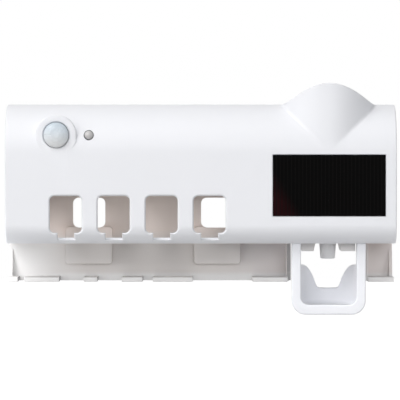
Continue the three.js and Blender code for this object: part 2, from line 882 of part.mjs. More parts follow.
const sealFoot = socketTop - sealTall;
place(
  "tube_seal",
  turnedUp(
    [
      [sealThroat, sealFoot],
      [sealRadius, sealFoot],
      [sealRadius, socketTop],
      [sealMouth, socketTop],
      [sealThroat, sealFoot + sealTaperFoot],
      [sealThroat, sealFoot],
    ],
    tubeX,
    collarY,
    28,
  ),
  softBlack,
);
const valveTop = sealFoot - clearance - ringSlack;
place(
  "inlet_valve",
  turnedUp(
    [
      [valveSlit, valveTop - valveTall],
      [valveLip, valveTop - valveTall],
      [valveNeck, valveTop - valveTaper],
      [valveNeck, valveTop - valveBrim],
      [valveRadius, valveTop - valveBrim],
      [valveRadius, valveTop],
      [valveMouth, valveTop],
      [valveSlit, valveTop - valveTall + bite],
      [valveSlit, valveTop - valveTall],
    ],
    tubeX,
    pasteY,
    20,
  ),
  softGrey,
);
const nozzleShoulder = archTop - clearance;
place(
  "nozzle",
  turnedUp(
    [
      [nozzleBore, nozzleLow],
      [nozzleTip - nozzleEdge, nozzleLow],
      [nozzleTip, nozzleLow + nozzleEdge],
      [nozzleTop, nozzleShoulder],
      [spigotRadius, nozzleShoulder],
      [spigotRadius, spigotTop],
      [nozzleBore, spigotTop],
      [nozzleBore, nozzleLow],
    ],
    tubeX,
    pasteY,
    28,
  ),
  softGrey,
);

// Plunger: a domed nose on a stem, and a piston with a groove for its seal
const grooveFront = (pistonFront + pistonRear - grooveWide) / 2;
const grooveFloor = pistonRadius - grooveDepth;
function buildPlunger() {
  const steps = 4;
  const reach = Math.asin(stemRadius / noseRadius);
  const nose = Array.from({ length: steps + 1 }, (_, i) => {
    const turn = (i / steps) * reach;
    return [noseRadius * Math.sin(turn), noseTip + noseRadius * (1 - Math.cos(turn))];
  });
  const rest = [
    [stemRadius, pistonFront],
    [pistonRadius, pistonFront],
    [pistonRadius, grooveFront],
    [grooveFloor, grooveFront],
    [grooveFloor, grooveFront + grooveWide],
    [pistonRadius, grooveFront + grooveWide],
    [pistonRadius, pistonRear],
    [0, pistonRear],
  ];
  return turnedBack([...nose, ...rest], tubeX, pumpZ, 24);
}
place("pump_plunger", buildPlunger(), whitePlastic);

const ringWire = (grooveWide - clearance) / 2;
function buildPlungerSeal() {
  const middle = grooveFloor + ringSlack + ringWire;
  const heart = grooveFront + grooveWide / 2;
  const sides = 8;
  const profile = Array.from({ length: sides + 1 }, (_, i) => {
    const turn = -(i / sides) * 2 * Math.PI;
    return [middle + ringWire * Math.cos(turn), heart - ringWire * Math.sin(turn)];
  });
  return turnedBack(profile, tubeX, pumpZ, 24);
}
place("plunger_seal", buildPlungerSeal(), softBlack);

// Return spring: one unbroken coil in the pump chamber behind the piston
class Coil extends THREE.Curve {
  getPoint(t) {
    const start = pistonRear + clearance + springWire;
    const end = pumpEnd - clearance - springWire;
    const turn = t * springTurns * 2 * Math.PI;
    const x = tubeX + springCoil * Math.cos(turn);
    const z = pumpZ + springCoil * Math.sin(turn);
    return new THREE.Vector3(x, start + (end - start) * t, z);
  }
}
const coil = new Coil();
function coilGap() {
  const points = coil.getPoints(springTurns * 32);
  const near = 16;
  let least = Infinity;
  for (let i = 0; i < points.length; i += 1) {
    for (let j = i + near; j < points.length; j += 1) {
      least = Math.min(least, points[i].distanceTo(points[j]));
    }
  }
  return least - 2 * springWire;
}
console.log(`return spring: least gap to itself ${coilGap().toFixed(2)} mm`);
place("return_spring", wire(coil, springWire, springTurns * turnSteps, wireSides), bareSteel);

// Push lever: a loop with a cup-shaped back, hung on its pin by two eyes
function loopOutline() {
  const left = tubeX - leverHalf;
  const right = tubeX + leverHalf;
  const outer = roundedBox(left, right, leverBottom, pivotZ, leverOuter, legTopRounding);
  const side = leverHalf - legWidth;
  const floor = leverBottom + leverBar;
  const hole = roundedBox(tubeX - side, tubeX + side, floor, pivotZ + past, leverInner, legTopRounding);
  return { outer, hole };
}

function buildLever() {
  const { outer, hole } = loopOutline();
  const legRear = leverFront + legDepth;
  const through = alongY(hole, leverFront - bite, legRear + bite, 4);
  const frame = cut(alongY(outer, leverFront, legRear, 5), through);
  const side = leverHalf - legWidth;
  const eyes = [-1, 1].map((way) => {
    const across = inOrder(tubeX + way * side, tubeX + way * leverHalf);
    return rodX(eyeRadius, ...across, pivotY, pivotZ, 24);
  });
  const floorTop = leverBottom + leverBar;
  const floorLow = floorTop - wall;
  const cupOuter = rodZ(side + cupWall, tubeX, pivotY, floorLow, cupTop, 40);
  const cupInner = rodZ(side, tubeX, pivotY, floorTop, cupTop + bite, 40);
  const rearHalf = block(tubeX - leverHalf, tubeX + leverHalf, pivotY, 0, leverBottom, pivotZ);
  const dip = new THREE.Shape();
  dip.moveTo(tubeX - cupDipHalf, cupDip);
  dip.lineTo(tubeX + cupDipHalf, cupDip);
  const bend = cupTop - cupBendDrop;
  dip.quadraticCurveTo(tubeX + cupBendHalf, bend, tubeX + cupMouthHalf, cupTop + bite);
  dip.lineTo(tubeX - cupMouthHalf, cupTop + bite);
  dip.quadraticCurveTo(tubeX - cupBendHalf, bend, tubeX - cupDipHalf, cupDip);
  const cupBack = cut(cupOuter, cupInner).intersect(rearHalf);
  const cup = cupBack.subtract(alongY(dip, pivotY + cupRearStart, 0, 3));
  const bridge = block(
    tubeX - side - bite,
    tubeX + side + bite,
    leverFront,
    bridgeRear,
    pumpZ - bridgeHalf,
    pumpZ + bridgeHalf,
  );
  const pinHole = rodX(pinRadius + clearance, tubeX - half, tubeX + half, pivotY, pivotZ, 16);
  return cut(join(frame, ...eyes, cup, bridge), pinHole);
}
place("push_lever", buildLever(), whitePlastic);
const pinHalf = leverHalf - pinInset;
place("pivot_pin", rodX(pinRadius, tubeX - pinHalf, tubeX + pinHalf, pivotY, pivotZ, 16), bareSteel);

// Leads inside the upper part of the case
const leadRadius = 0.7;
const leadSteps = 14;
const boardEdge = boardRight + clearance + leadRadius;
const boardMiddle = (boardFront + boardRear) / 2;
const solarRoute = route(
  [leadHoleX, front + panelRecess + leadRadius, leadHoleZ],
  [leadHoleX - 6, -46, 2],
  [10, -43, 10],
  [-30, -42, 16],
  [boardEdge, boardMiddle, 16],
);
place("solar_lead", wire(solarRoute, leadRadius, leadSteps), leadRed);
const batteryRoute = route(
  [cellX, cellY, cellTop + clearance + leadRadius],
  [cellX - 8, cellY - 2, cellTop + 3],
  [0, -28, 22],
  [-30, -34, 18],
  [boardEdge, boardMiddle, 22],
);
place("battery_lead", wire(batteryRoute, leadRadius, leadSteps), leadRed);
const lampRoute = route(
  [lampRight + clearance, lampY, lampBoardLow + leadRadius],
  [trayRight - 2, lampY, lampBoardLow - leadRadius],
  [trayRight + 3, lampY, trayZ + 1],
  [trayRight - 4, lampY - 1, trayTop + 4],
  [-30, -34, 5],
  [boardEdge, boardMiddle, 9],
);
place("lamp_lead", wire(lampRoute, leadRadius, leadSteps + 6), leadGrey);

export default group;
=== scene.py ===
# %% [markdown]
# # A wall-hung ultraviolet toothbrush holder
# The real holder is a white moulded case that hangs on two wall hooks. Brushes hang by their necks in four
# notched windows, lamps in the ceiling of the bay shine on them, and a lever under the right half pumps
# toothpaste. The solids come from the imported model, which fixes every place and size. This lesson dresses
# them: it rounds the edges that a mould would round, builds the lens, lever and outlet finely, and gives
# each piece its finish.

# %% Load the solids
import json
import math

import bmesh
import bpy
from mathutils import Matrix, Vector


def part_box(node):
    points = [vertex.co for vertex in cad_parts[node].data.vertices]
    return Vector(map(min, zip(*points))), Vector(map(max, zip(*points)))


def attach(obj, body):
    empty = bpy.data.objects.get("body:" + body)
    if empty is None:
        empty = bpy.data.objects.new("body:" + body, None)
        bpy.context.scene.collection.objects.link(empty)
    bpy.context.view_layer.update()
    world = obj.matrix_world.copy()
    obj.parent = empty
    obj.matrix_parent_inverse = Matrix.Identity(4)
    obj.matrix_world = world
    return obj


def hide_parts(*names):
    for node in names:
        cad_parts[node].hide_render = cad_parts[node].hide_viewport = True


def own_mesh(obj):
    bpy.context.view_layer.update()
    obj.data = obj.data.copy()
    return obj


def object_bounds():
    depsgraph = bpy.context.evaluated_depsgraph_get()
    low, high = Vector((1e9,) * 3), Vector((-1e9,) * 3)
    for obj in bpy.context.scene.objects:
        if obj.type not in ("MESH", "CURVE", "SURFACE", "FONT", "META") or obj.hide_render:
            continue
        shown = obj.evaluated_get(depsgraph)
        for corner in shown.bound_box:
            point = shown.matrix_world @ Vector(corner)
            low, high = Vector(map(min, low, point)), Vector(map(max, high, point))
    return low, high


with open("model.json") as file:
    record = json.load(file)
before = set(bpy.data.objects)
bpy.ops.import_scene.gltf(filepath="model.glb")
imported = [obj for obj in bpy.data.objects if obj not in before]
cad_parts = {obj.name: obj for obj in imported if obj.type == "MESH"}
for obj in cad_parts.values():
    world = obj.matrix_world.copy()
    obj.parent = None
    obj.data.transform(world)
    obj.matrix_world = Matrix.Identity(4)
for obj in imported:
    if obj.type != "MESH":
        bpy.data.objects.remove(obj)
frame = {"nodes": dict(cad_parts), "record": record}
cad_low, cad_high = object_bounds()
MM = 0.001
print("solids:", len(frame["nodes"]), "size in mm:", [round(s / MM, 1) for s in cad_high - cad_low])

# %% [markdown]
# ## Camera
# A long lens a little over two metres away looks almost straight at the front, so the sides hardly
# converge. The picture is taken as square. The lens is worked out so that the square is exactly as wide as
# the case needs, which is simpler to adjust than guessing a focal length.

# %% Camera
PICTURE_WIDTH = 250 * MM
CAMERA_DISTANCE = 2.2
CAMERA_RISE = math.radians(1.2)
SENSOR = 36.0
case_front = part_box("solar_panel")[0].y
aim = Vector((-0.6 * MM, case_front, -19.8 * MM))
eye = aim + CAMERA_DISTANCE * Vector((0, -math.cos(CAMERA_RISE), math.sin(CAMERA_RISE)))
camera_data = bpy.data.cameras.new("front_camera")
camera_data.sensor_width = SENSOR
camera_data.lens = SENSOR * CAMERA_DISTANCE / PICTURE_WIDTH
camera = bpy.data.objects.new("front_camera", camera_data)
camera.location = eye
camera.rotation_euler = (aim - eye).to_track_quat("-Z", "Y").to_euler()
bpy.context.scene.collection.objects.link(camera)
bpy.context.scene.camera = camera
bpy.context.scene.view_settings.view_transform = "Standard"
print("lens in mm:", round(camera_data.lens, 1))

# %% [markdown]
# ## Light, surroundings and floor
# A white product on white needs soft light, or its edges vanish or burn out. A large lamp at the upper left
# gives the form its slow shading, one further to the side models the collar, and a weaker one in front
# reaches into the windows and under the case. Two cards the size of a stamp brighten the dark corners at
# the skirt's ends. The surroundings are a mid grey for everything but the camera, mirrors and glass, which
# see white. The floor is pale and keeps the holder's shadow.

# %% Surroundings
def math_node(nodes, operation, second=None):
    """A node that does one sum, with its second number set where there is one."""
    node = nodes.new("ShaderNodeMath")
    node.operation = operation
    if second is not None:
        node.inputs[1].default_value = second
    return node


def seen_directly(nodes, links):
    """1 for the rays of the camera, of mirrors and of glass, and 0 for all others."""
    path = nodes.new("ShaderNodeLightPath")
    seen = path.outputs["Is Camera Ray"]
    for kind in ("Is Glossy Ray", "Is Transmission Ray"):
        either = math_node(nodes, "MAXIMUM")
        links.new(seen, either.inputs[0])
        links.new(path.outputs[kind], either.inputs[1])
        seen = either.outputs[0]
    return seen


def surroundings(light_level):
    """A world that lights at light_level and that the camera, mirrors and glass see as white."""
    world = bpy.data.worlds.new("studio")
    world.use_nodes = True
    nodes, links = world.node_tree.nodes, world.node_tree.links
    nodes.clear()
    lit = nodes.new("ShaderNodeBackground")
    lit.inputs["Strength"].default_value = light_level
    white = nodes.new("ShaderNodeBackground")
    mix = nodes.new("ShaderNodeMixShader")
    out = nodes.new("ShaderNodeOutputWorld")
    for background in (lit, white):
        background.inputs["Color"].default_value = (1, 1, 1, 1)
    links.new(seen_directly(nodes, links), mix.inputs[0])
    links.new(lit.outputs[0], mix.inputs[1])
    links.new(white.outputs[0], mix.inputs[2])
    links.new(mix.outputs[0], out.inputs["Surface"])
    bpy.context.scene.world = world
    print("world light:", light_level)


surroundings(light_level=0.36)


# %% Lamps
def lamp(name, place, size, watts, tint, toward=aim):
    """A square soft lamp that faces the middle of the case or another place."""
    data = bpy.data.lights.new(name, "AREA")
    data.size = size
    data.energy = watts
    data.color = tint
    obj = bpy.data.objects.new(name, data)
    obj.location = place
    obj.rotation_euler = (toward - Vector(place)).to_track_quat("-Z", "Y").to_euler()
    bpy.context.scene.collection.objects.link(obj)


lamp("key_lamp", (-1.2, -1.45, 2.1), 1.5, 39, (1.0, 0.99, 0.98))
lamp("side_lamp", (-2.0, -1.2, 1.0), 1.5, 17, (1.0, 0.99, 0.98))
lamp("front_lamp", (0.35, -2.2, 0.42), 0.7, 10.5, (0.97, 0.985, 1.0))
CARD = 0.02
TO_LEFT = Vector((-1, 1, 1))
card_place = Vector((0.155, -0.046, -0.06))
skirt_end = Vector((105, 0, -60)) * MM
lamp("left_card", card_place * TO_LEFT, CARD, 0.016, (0.97, 0.985, 1.0), skirt_end * TO_LEFT)
lamp("right_card", card_place, CARD, 0.004, (1.0, 0.95, 0.94), skirt_end)
print("lamps:", len(bpy.data.lights))

# %% Floor
FLOOR_DROP = 110 * MM
FLOOR_HALF = 3.0
floor_z = cad_low.z - FLOOR_DROP
floor_ways = ((-1, -1), (1, -1), (1, 1), (-1, 1))
floor_points = [(x * FLOOR_HALF, y * FLOOR_HALF, floor_z) for x, y in floor_ways]
floor_mesh = bpy.data.meshes.new("floor")
floor_mesh.from_pydata(floor_points, [], [(0, 1, 2, 3)])
floor = bpy.data.objects.new("floor", floor_mesh)
bpy.context.scene.collection.objects.link(floor)
print("floor height in mm:", round(floor_z / MM, 1))

# %% [markdown]
# ## Materials
# Moulded plastic is never one flat value. It has a fine grain from the tool's surface, slow changes of tone
# where it cooled unevenly, and roughness that follows both. All plastics here share that, so it is one node
# group with its own values in each material. The group only puts out a colour, a roughness and a height;
# the shader itself stays in the material.

# %% Moulded grain group
def add_sockets(group, side, kind, *names):
    """Named sockets of one kind on the input or the output side of a node group."""
    for name in names:
        group.interface.new_socket(name=name, in_out=side, socket_type="NodeSocket" + kind)


def moulded_grain_group():
    group = bpy.data.node_groups.new("moulded_grain", "ShaderNodeTree")
    add_sockets(group, "INPUT", "Color", "Base", "Shade")
    add_sockets(group, "INPUT", "Float", "Grain Size", "Roughness Low", "Roughness High")
    add_sockets(group, "OUTPUT", "Color", "Color")
    add_sockets(group, "OUTPUT", "Float", "Roughness", "Height")
    nodes, links = group.nodes, group.links
    given = nodes.new("NodeGroupInput")
    result = nodes.new("NodeGroupOutput")
    where = nodes.new("ShaderNodeTexCoord")
    slow = nodes.new("ShaderNodeTexNoise")
    slow.inputs["Scale"].default_value = 22.0
    slow.inputs["Detail"].default_value = 3.0
    fine = nodes.new("ShaderNodeTexNoise")
    fine.inputs["Detail"].default_value = 2.0
    links.new(where.outputs["Object"], slow.inputs["Vector"])
    links.new(where.outputs["Object"], fine.inputs["Vector"])
    links.new(given.outputs["Grain Size"], fine.inputs["Scale"])
    tone = nodes.new("ShaderNodeMix")
    tone.data_type = "RGBA"
    links.new(slow.outputs["Fac"], tone.inputs["Factor"])
    links.new(given.outputs["Base"], tone.inputs[6])
    links.new(given.outputs["Shade"], tone.inputs[7])
    links.new(tone.outputs[2], result.inputs["Color"])
    rough = nodes.new("ShaderNodeMapRange")
    links.new(fine.outputs["Fac"], rough.inputs["Value"])
    links.new(given.outputs["Roughness Low"], rough.inputs["To Min"])
    links.new(given.outputs["Roughness High"], rough.inputs["To Max"])
    links.new(rough.outputs["Result"], result.inputs["Roughness"])
    links.new(fine.outputs["Fac"], result.inputs["Height"])
    return group


moulded_grain = moulded_grain_group()
print("group made:", moulded_grain.name)


# %% Material helpers
def bare_material(name):
    """A material with only its shader, and the parts needed to wire it."""
    material = bpy.data.materials.new(name)
    material.use_nodes = True
    tree = material.node_tree
    shader = next(node for node in tree.nodes if node.type == "BSDF_PRINCIPLED")
    return material, tree.nodes, tree.links, shader


def moulded(name, base, shade, roughness, grain_size=900.0, bump=0.08, metallic=0.0):
    """Plastic, rubber or rubbed-down metal: the shared grain with this finish's own values."""
    material, nodes, links, shader = bare_material(name)
    grain = nodes.new("ShaderNodeGroup")
    grain.node_tree = moulded_grain
    grain.inputs["Base"].default_value = (*base, 1)
    grain.inputs["Shade"].default_value = (*shade, 1)
    grain.inputs["Grain Size"].default_value = grain_size
    grain.inputs["Roughness Low"].default_value = roughness[0]
    grain.inputs["Roughness High"].default_value = roughness[1]
    links.new(grain.outputs["Color"], shader.inputs["Base Color"])
    links.new(grain.outputs["Roughness"], shader.inputs["Roughness"])
    relief = nodes.new("ShaderNodeBump")
    relief.inputs["Strength"].default_value = bump
    relief.inputs["Distance"].default_value = 0.1 * MM
    links.new(grain.outputs["Height"], relief.inputs["Height"])
    links.new(relief.outputs["Normal"], shader.inputs["Normal"])
    shader.inputs["Metallic"].default_value = metallic
    return material


# %% Plain finishes
shell_white = moulded("shell_white", (0.80, 0.808, 0.84), (0.78, 0.788, 0.82), (0.46, 0.56))
housing_white = moulded("housing_white", (0.80, 0.79, 0.785), (0.77, 0.76, 0.755), (0.46, 0.6))
inner_white = moulded("inner_white", (0.82, 0.80, 0.79), (0.79, 0.77, 0.76), (0.46, 0.6))
lever_white = moulded("lever_white", (0.90, 0.91, 0.95), (0.88, 0.89, 0.93), (0.3, 0.4))
outlet_grey = moulded("outlet_grey", (0.8, 0.8, 0.81), (0.77, 0.77, 0.78), (0.5, 0.65), bump=0.12)
seal_black = moulded("seal_black", (0.03, 0.03, 0.03), (0.045, 0.045, 0.045), (0.6, 0.8), bump=0.2)
bare_steel = moulded(
    "bare_steel", (0.6, 0.61, 0.62), (0.5, 0.51, 0.52), (0.22, 0.4), 2600.0, 0.05, metallic=1.0
)
cell_wrap = moulded("cell_wrap", (0.04, 0.14, 0.4), (0.05, 0.17, 0.46), (0.25, 0.35), 300.0)
chip_black = moulded("chip_black", (0.015, 0.015, 0.016), (0.03, 0.03, 0.03), (0.5, 0.7))
lamp_cream = moulded("lamp_cream", (0.74, 0.69, 0.54), (0.68, 0.62, 0.46), (0.4, 0.6))
lead_red = moulded("lead_red", (0.42, 0.035, 0.03), (0.5, 0.05, 0.04), (0.35, 0.5))
lead_grey = moulded("lead_grey", (0.1, 0.11, 0.12), (0.14, 0.15, 0.16), (0.35, 0.5))
print("materials so far:", len(bpy.data.materials))

# %% [markdown]
# The back plate's colour carries painted light and shade. Inside the bay it is painted lighter and warmer,
# as painted light coming in through the windows. Below the case it is painted darker, greyer on the left
# and warmer on the right, as the case's painted shadow, and faces turned to the right at the lip and beside
# the lever are painted dark, as painted shade. Each tint sits inside a soft box, and it can keep to the
# faces that look one way. Two finishes need it, so it is a node group that goes between a finish's colour
# and its shader. The rear face lies on the wall and gets no tint.

# %% Soft edges
def fade(nodes, links, value, start, full):
    """0 where the value is at start and 1 where it is at full."""
    step = nodes.new("ShaderNodeMapRange")
    step.interpolation_type = "SMOOTHSTEP"
    step.inputs["From Min"].default_value = start
    step.inputs["From Max"].default_value = full
    links.new(value, step.inputs["Value"])
    return step.outputs["Result"]


def product(nodes, links, *factors):
    """The factors multiplied in turn."""
    dose = factors[0]
    for factor in factors[1:]:
        times = math_node(nodes, "MULTIPLY")
        links.new(dose, times.inputs[0])
        links.new(factor, times.inputs[1])
        dose = times.outputs[0]
    return dose


# %% Painted light and shade group
# Cosines of the turn from the wanted direction at which a picky tint starts and is full.
TURN_STARTS = 0.6
TURN_FULL = 0.9


def soft_painted_light_group():
    """A colour times a tint inside a soft box; with Picky at 1 only on faces that look along Facing."""
    group = bpy.data.node_groups.new("soft_painted_light", "ShaderNodeTree")
    add_sockets(group, "INPUT", "Color", "Color", "Tint")
    add_sockets(group, "INPUT", "Vector", "Starts", "Full", "Wanes", "Ends", "Facing")
    add_sockets(group, "INPUT", "Float", "Picky")
    add_sockets(group, "OUTPUT", "Color", "Color")
    nodes, links = group.nodes, group.links
    given = nodes.new("NodeGroupInput")
    result = nodes.new("NodeGroupOutput")
    where = nodes.new("ShaderNodeTexCoord")
    doses = []
    for start, full in (("Starts", "Full"), ("Ends", "Wanes")):
        step = nodes.new("ShaderNodeMapRange")
        step.data_type = "FLOAT_VECTOR"
        step.interpolation_type = "SMOOTHSTEP"
        links.new(where.outputs["Object"], step.inputs[6])
        links.new(given.outputs[start], step.inputs[7])
        links.new(given.outputs[full], step.inputs[8])
        apart = nodes.new("ShaderNodeSeparateXYZ")
        links.new(step.outputs[1], apart.inputs[0])
        doses.extend(apart.outputs)
    alike = nodes.new("ShaderNodeVectorMath")
    alike.operation = "DOT_PRODUCT"
    links.new(where.outputs["Normal"], alike.inputs[0])
    links.new(given.outputs["Facing"], alike.inputs[1])
    side = nodes.new("ShaderNodeMix")
    side.inputs[2].default_value = 1.0
    links.new(given.outputs["Picky"], side.inputs[0])
    links.new(fade(nodes, links, alike.outputs["Value"], TURN_STARTS, TURN_FULL), side.inputs[3])
    tinted = nodes.new("ShaderNodeMix")
    tinted.data_type = "RGBA"
    tinted.blend_type = "MULTIPLY"
    links.new(product(nodes, links, *doses, side.outputs[0]), tinted.inputs["Factor"])
    links.new(given.outputs["Color"], tinted.inputs[6])
    links.new(given.outputs["Tint"], tinted.inputs[7])
    links.new(tinted.outputs[2], result.inputs["Color"])
    return group


soft_painted_light = soft_painted_light_group()
print("group made:", soft_painted_light.name)

# %% Painted light and shade on the back plate
EVERYWHERE = (-1000, -999, 999, 1000)


def paint_light_and_shade(material, tint, facing=None, **spans):
    """Painted light or shade: a soft box of tint that starts, is full, wanes and ends on each axis, in mm.
    """
    nodes, links = material.node_tree.nodes, material.node_tree.links
    shader = next(node for node in nodes if node.type == "BSDF_PRINCIPLED")
    untinted = shader.inputs["Base Color"].links[0].from_socket
    tinted = nodes.new("ShaderNodeGroup")
    tinted.node_tree = soft_painted_light
    tinted.inputs["Tint"].default_value = (*tint, 1)
    tinted.inputs["Facing"].default_value = facing or (0, 0, 0)
    tinted.inputs["Picky"].default_value = 1.0 if facing else 0.0
    places = [spans.get(axis, EVERYWHERE) for axis in "XYZ"]
    for socket, place in zip(("Starts", "Full", "Wanes", "Ends"), zip(*places)):
        tinted.inputs[socket].default_value = Vector(place) * MM
    links.new(untinted, tinted.inputs["Color"])
    links.new(tinted.outputs["Color"], shader.inputs["Base Color"])


OFF_THE_WALL = (-70, -60, -1.5, -0.5)
IN_BAY = (-51, -38, -8, 2)
UNDER_CASE = (-69.5, -66, -51, -38)
LIP = (-80, -75, -68, -66)
NOTCH_SIDE = (53, 54, 59, 60)
RIGHT = (1, 0, 0)
# Painted shadow of the case on the plate below it, greyer on the left and warmer on the right.
paint_light_and_shade(housing_white, (0.88, 0.845, 0.825), X=(-112, -72, 10, 50), Y=OFF_THE_WALL, Z=UNDER_CASE)
paint_light_and_shade(housing_white, (0.97, 0.92, 0.905), X=(10, 50, 125, 130), Y=OFF_THE_WALL, Z=UNDER_CASE)
# Painted light: inside the bay the plate is painted lighter and warmer, as light through the windows.
paint_light_and_shade(housing_white, (1.21, 1.075, 1.0), Y=OFF_THE_WALL, Z=IN_BAY)
# Painted shade on the lip's faces that turn to the right, away from the lamps.
paint_light_and_shade(housing_white, (0.42, 0.42, 0.43), facing=RIGHT, Z=LIP)
# Painted shade on the right-turned face of the wall beside the lever.
paint_light_and_shade(housing_white, (0.4, 0.41, 0.43), facing=RIGHT, X=NOTCH_SIDE, Z=(-68, -66, -50, -46))
print("back plate nodes:", len(housing_white.node_tree.nodes))

# %% [markdown]
# The floor's own colour lights the underside of the case a little, as a table would. Only camera, mirror
# and glass rays get the small extra glow that brings the open floor to white, so the shadow stays in it.

# %% Floor finish
FLOOR_GLOW = 0.75
floor_finish, floor_nodes, floor_links, floor_shader = bare_material("floor_pale")
floor_shader.inputs["Roughness"].default_value = 0.9
speckle = floor_nodes.new("ShaderNodeTexNoise")
speckle.inputs["Scale"].default_value = 40.0
paper = floor_nodes.new("ShaderNodeMix")
paper.data_type = "RGBA"
paper.inputs[6].default_value = (0.55, 0.55, 0.55, 1)
paper.inputs[7].default_value = (0.57, 0.57, 0.57, 1)
floor_links.new(speckle.outputs["Fac"], paper.inputs["Factor"])
floor_links.new(paper.outputs[2], floor_shader.inputs["Base Color"])
glow = math_node(floor_nodes, "MULTIPLY", FLOOR_GLOW)
floor_links.new(seen_directly(floor_nodes, floor_links), glow.inputs[0])
floor_shader.inputs["Emission Color"].default_value = (1, 1, 1, 1)
floor_links.new(glow.outputs[0], floor_shader.inputs["Emission Strength"])
floor_mesh.materials.append(floor_finish)
print("floor finish:", floor_finish.name)

# %% [markdown]
# ## Rounding a moulded edge
# No moulded edge is knife sharp: the tool leaves a small radius, and that thin bright line is what makes a
# white object readable on white. A Bevel modifier would round every edge of a solid by one radius, also
# inside screw holes, where it tangles. So the solid is copied, its triangles are joined into whole flat
# faces in front, and only the edges picked by a test are rounded. Edges that stay sharp are marked. Shading
# then follows either the true direction of the skin, where it is known, or a Weighted Normal modifier,
# which keeps broad faces flat.

# %% Rounded copy of a solid
SHARP = math.radians(35)
SAME_PLANE = math.radians(0.4)
SAME_CORNER = 0.002


def solid_copy(node):
    """The solid's mesh with shared corners merged."""
    bm = bmesh.new()
    bm.from_mesh(frame["nodes"][node].data)
    bmesh.ops.remove_doubles(bm, verts=bm.verts, dist=SAME_CORNER * MM)
    return bm


def joined_faces(node, rear=math.inf):
    """A copy whose flat faces are whole, as far back as the rear, in mm."""
    bm = solid_copy(node)
    verts = [vert for vert in bm.verts if vert.co.y < rear * MM]
    edges = [edge for edge in bm.edges if max(vert.co.y for vert in edge.verts) < rear * MM]
    bmesh.ops.dissolve_limit(bm, angle_limit=SAME_PLANE, verts=verts, edges=edges)
    return bm


def round_edges(bm, radius, picked, steps=3):
    """Rounds the sharp edges whose middle passes the test."""
    edges = []
    for edge in bm.edges:
        if len(edge.link_faces) != 2 or edge.calc_face_angle(0) < SHARP:
            continue
        if picked((edge.verts[0].co + edge.verts[1].co) / 2 / MM):
            edges.append(edge)
    bmesh.ops.bevel(
        bm, geom=edges, offset=radius * MM, segments=steps, profile=0.5, affect="EDGES", clamp_overlap=False
    )
    return len(edges)


def aim_corners(mesh, direction):
    """Shades each corner by the true direction of the surface there, where direction() gives one."""
    corners = [Vector(corner.vector) for corner in mesh.corner_normals]
    for polygon in mesh.polygons:
        for i in polygon.loop_indices:
            place = mesh.vertices[mesh.loops[i].vertex_index].co / MM
            corners[i] = direction(place, polygon.normal) or corners[i]
    mesh.normals_split_custom_set(corners)


def add_piece(name, bm, finish, body, slot, *nodes, direction=None):
    """Makes the mesh a piece of the object that rides on a body and stands for CAD nodes."""
    for face in bm.faces:
        face.smooth = True
    for edge in bm.edges:
        if len(edge.link_faces) == 2 and edge.calc_face_angle(0) > SHARP:
            edge.smooth = False
    mesh = bpy.data.meshes.new(name)
    bm.to_mesh(mesh)
    bm.free()
    mesh.materials.append(finish)
    obj = bpy.data.objects.new(name, mesh)
    bpy.context.scene.collection.objects.link(obj)
    if direction:
        aim_corners(mesh, direction)
    else:
        flat = obj.modifiers.new("flat_faces", "WEIGHTED_NORMAL")
        flat.keep_sharp = True
    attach(obj, body)
    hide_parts(*nodes)
    print(name, "faces:", len(mesh.polygons))
    return obj


# %% [markdown]
# ## Front cover
# The cover is one thin shell. Its section is a flat top, a wide roll, a plain front and a small roll under,
# so a point's place on the outer skin can be tested from the section alone, and so can its true direction.
# Shading by that direction makes the roll and the collar look round although they are made of flats.

# %% Where the cover's outer skin lies
cover_low, cover_high = (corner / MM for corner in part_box("front_cover"))
ROLL = 30.0
UNDER_ROLL = 12.0
CASE_TOP = 40.0
HALF_WIDTH = cover_high.x
FRONT = case_front / MM
ON_SKIN = 0.12
roll_y, roll_z = FRONT + ROLL, CASE_TOP - ROLL
under_y, under_z = FRONT + UNDER_ROLL, cover_low.z + UNDER_ROLL
print("roll axis in mm:", round(roll_y, 1), round(roll_z, 1))


def off_section(point):
    """How far a point is from the outer line of the cover's section, in mm."""
    if point.z > roll_z and point.y < roll_y:
        return abs(math.hypot(point.y - roll_y, point.z - roll_z) - ROLL)
    if point.z < under_z:
        return abs(math.hypot(point.y - under_y, point.z - under_z) - UNDER_ROLL)
    if point.y < roll_y:
        return abs(point.y - FRONT)
    return abs(point.z - CASE_TOP)


def section_direction(point):
    """The outward direction of the section's outer line beside a point."""
    if point.z > roll_z and point.y < roll_y:
        return Vector((0, point.y - roll_y, point.z - roll_z)).normalized()
    if point.z < under_z:
        return Vector((0, point.y - under_y, point.z - under_z)).normalized()
    return Vector((0, -1, 0)) if point.y < roll_y else Vector((0, 0, 1))


# %% Which edges of the cover are rounded
panel_low, panel_high = (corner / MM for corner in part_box("solar_panel"))
lens_low, lens_high = (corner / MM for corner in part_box("pir_lens"))
lens_middle = (lens_low + lens_high) / 2
TUBE_X = 80.4
COLLAR = 29.6
COLLAR_WALL = 2.4
BOSS = 12.8
BOSS_FADES = 7.8
NEAR_RIM = 0.3
collar_y = FRONT + COLLAR
WINDOW_TOP = -17.3
FLAT_END = under_z - UNDER_ROLL * math.pi / 2


def at_window(point):
    """On a window's front edge, while the under roll lies flat."""
    inside_ends = 5 - HALF_WIDTH < point.x < panel_low.x - 5
    return inside_ends and FLAT_END + 1 < point.z < WINDOW_TOP + 0.5 and abs(point.y - FRONT) < ON_SKIN


def at_collar_rim(point):
    reach = math.hypot(point.x - TUBE_X, point.y - collar_y)
    return point.z > CASE_TOP + NEAR_RIM and reach > COLLAR - COLLAR_WALL - NEAR_RIM


def at_boss(point):
    reach = math.hypot(point.x - lens_middle.x, point.z - lens_middle.z)
    on_rim = abs(reach - BOSS) < NEAR_RIM and point.z > roll_z + BOSS_FADES
    return abs(point.y - FRONT) < ON_SKIN and (on_rim or reach < lens_high.x - lens_middle.x)


def at_panel_recess(point):
    near = panel_low.x - 1 < point.x < panel_high.x + 1 and panel_low.z - 1 < point.z < panel_high.z + 1
    return near and abs(point.y - FRONT) < ON_SKIN


# %% Which way the cover's skin faces
NEAR_SKIN = 0.2
SAME_FACE = math.cos(math.radians(26))


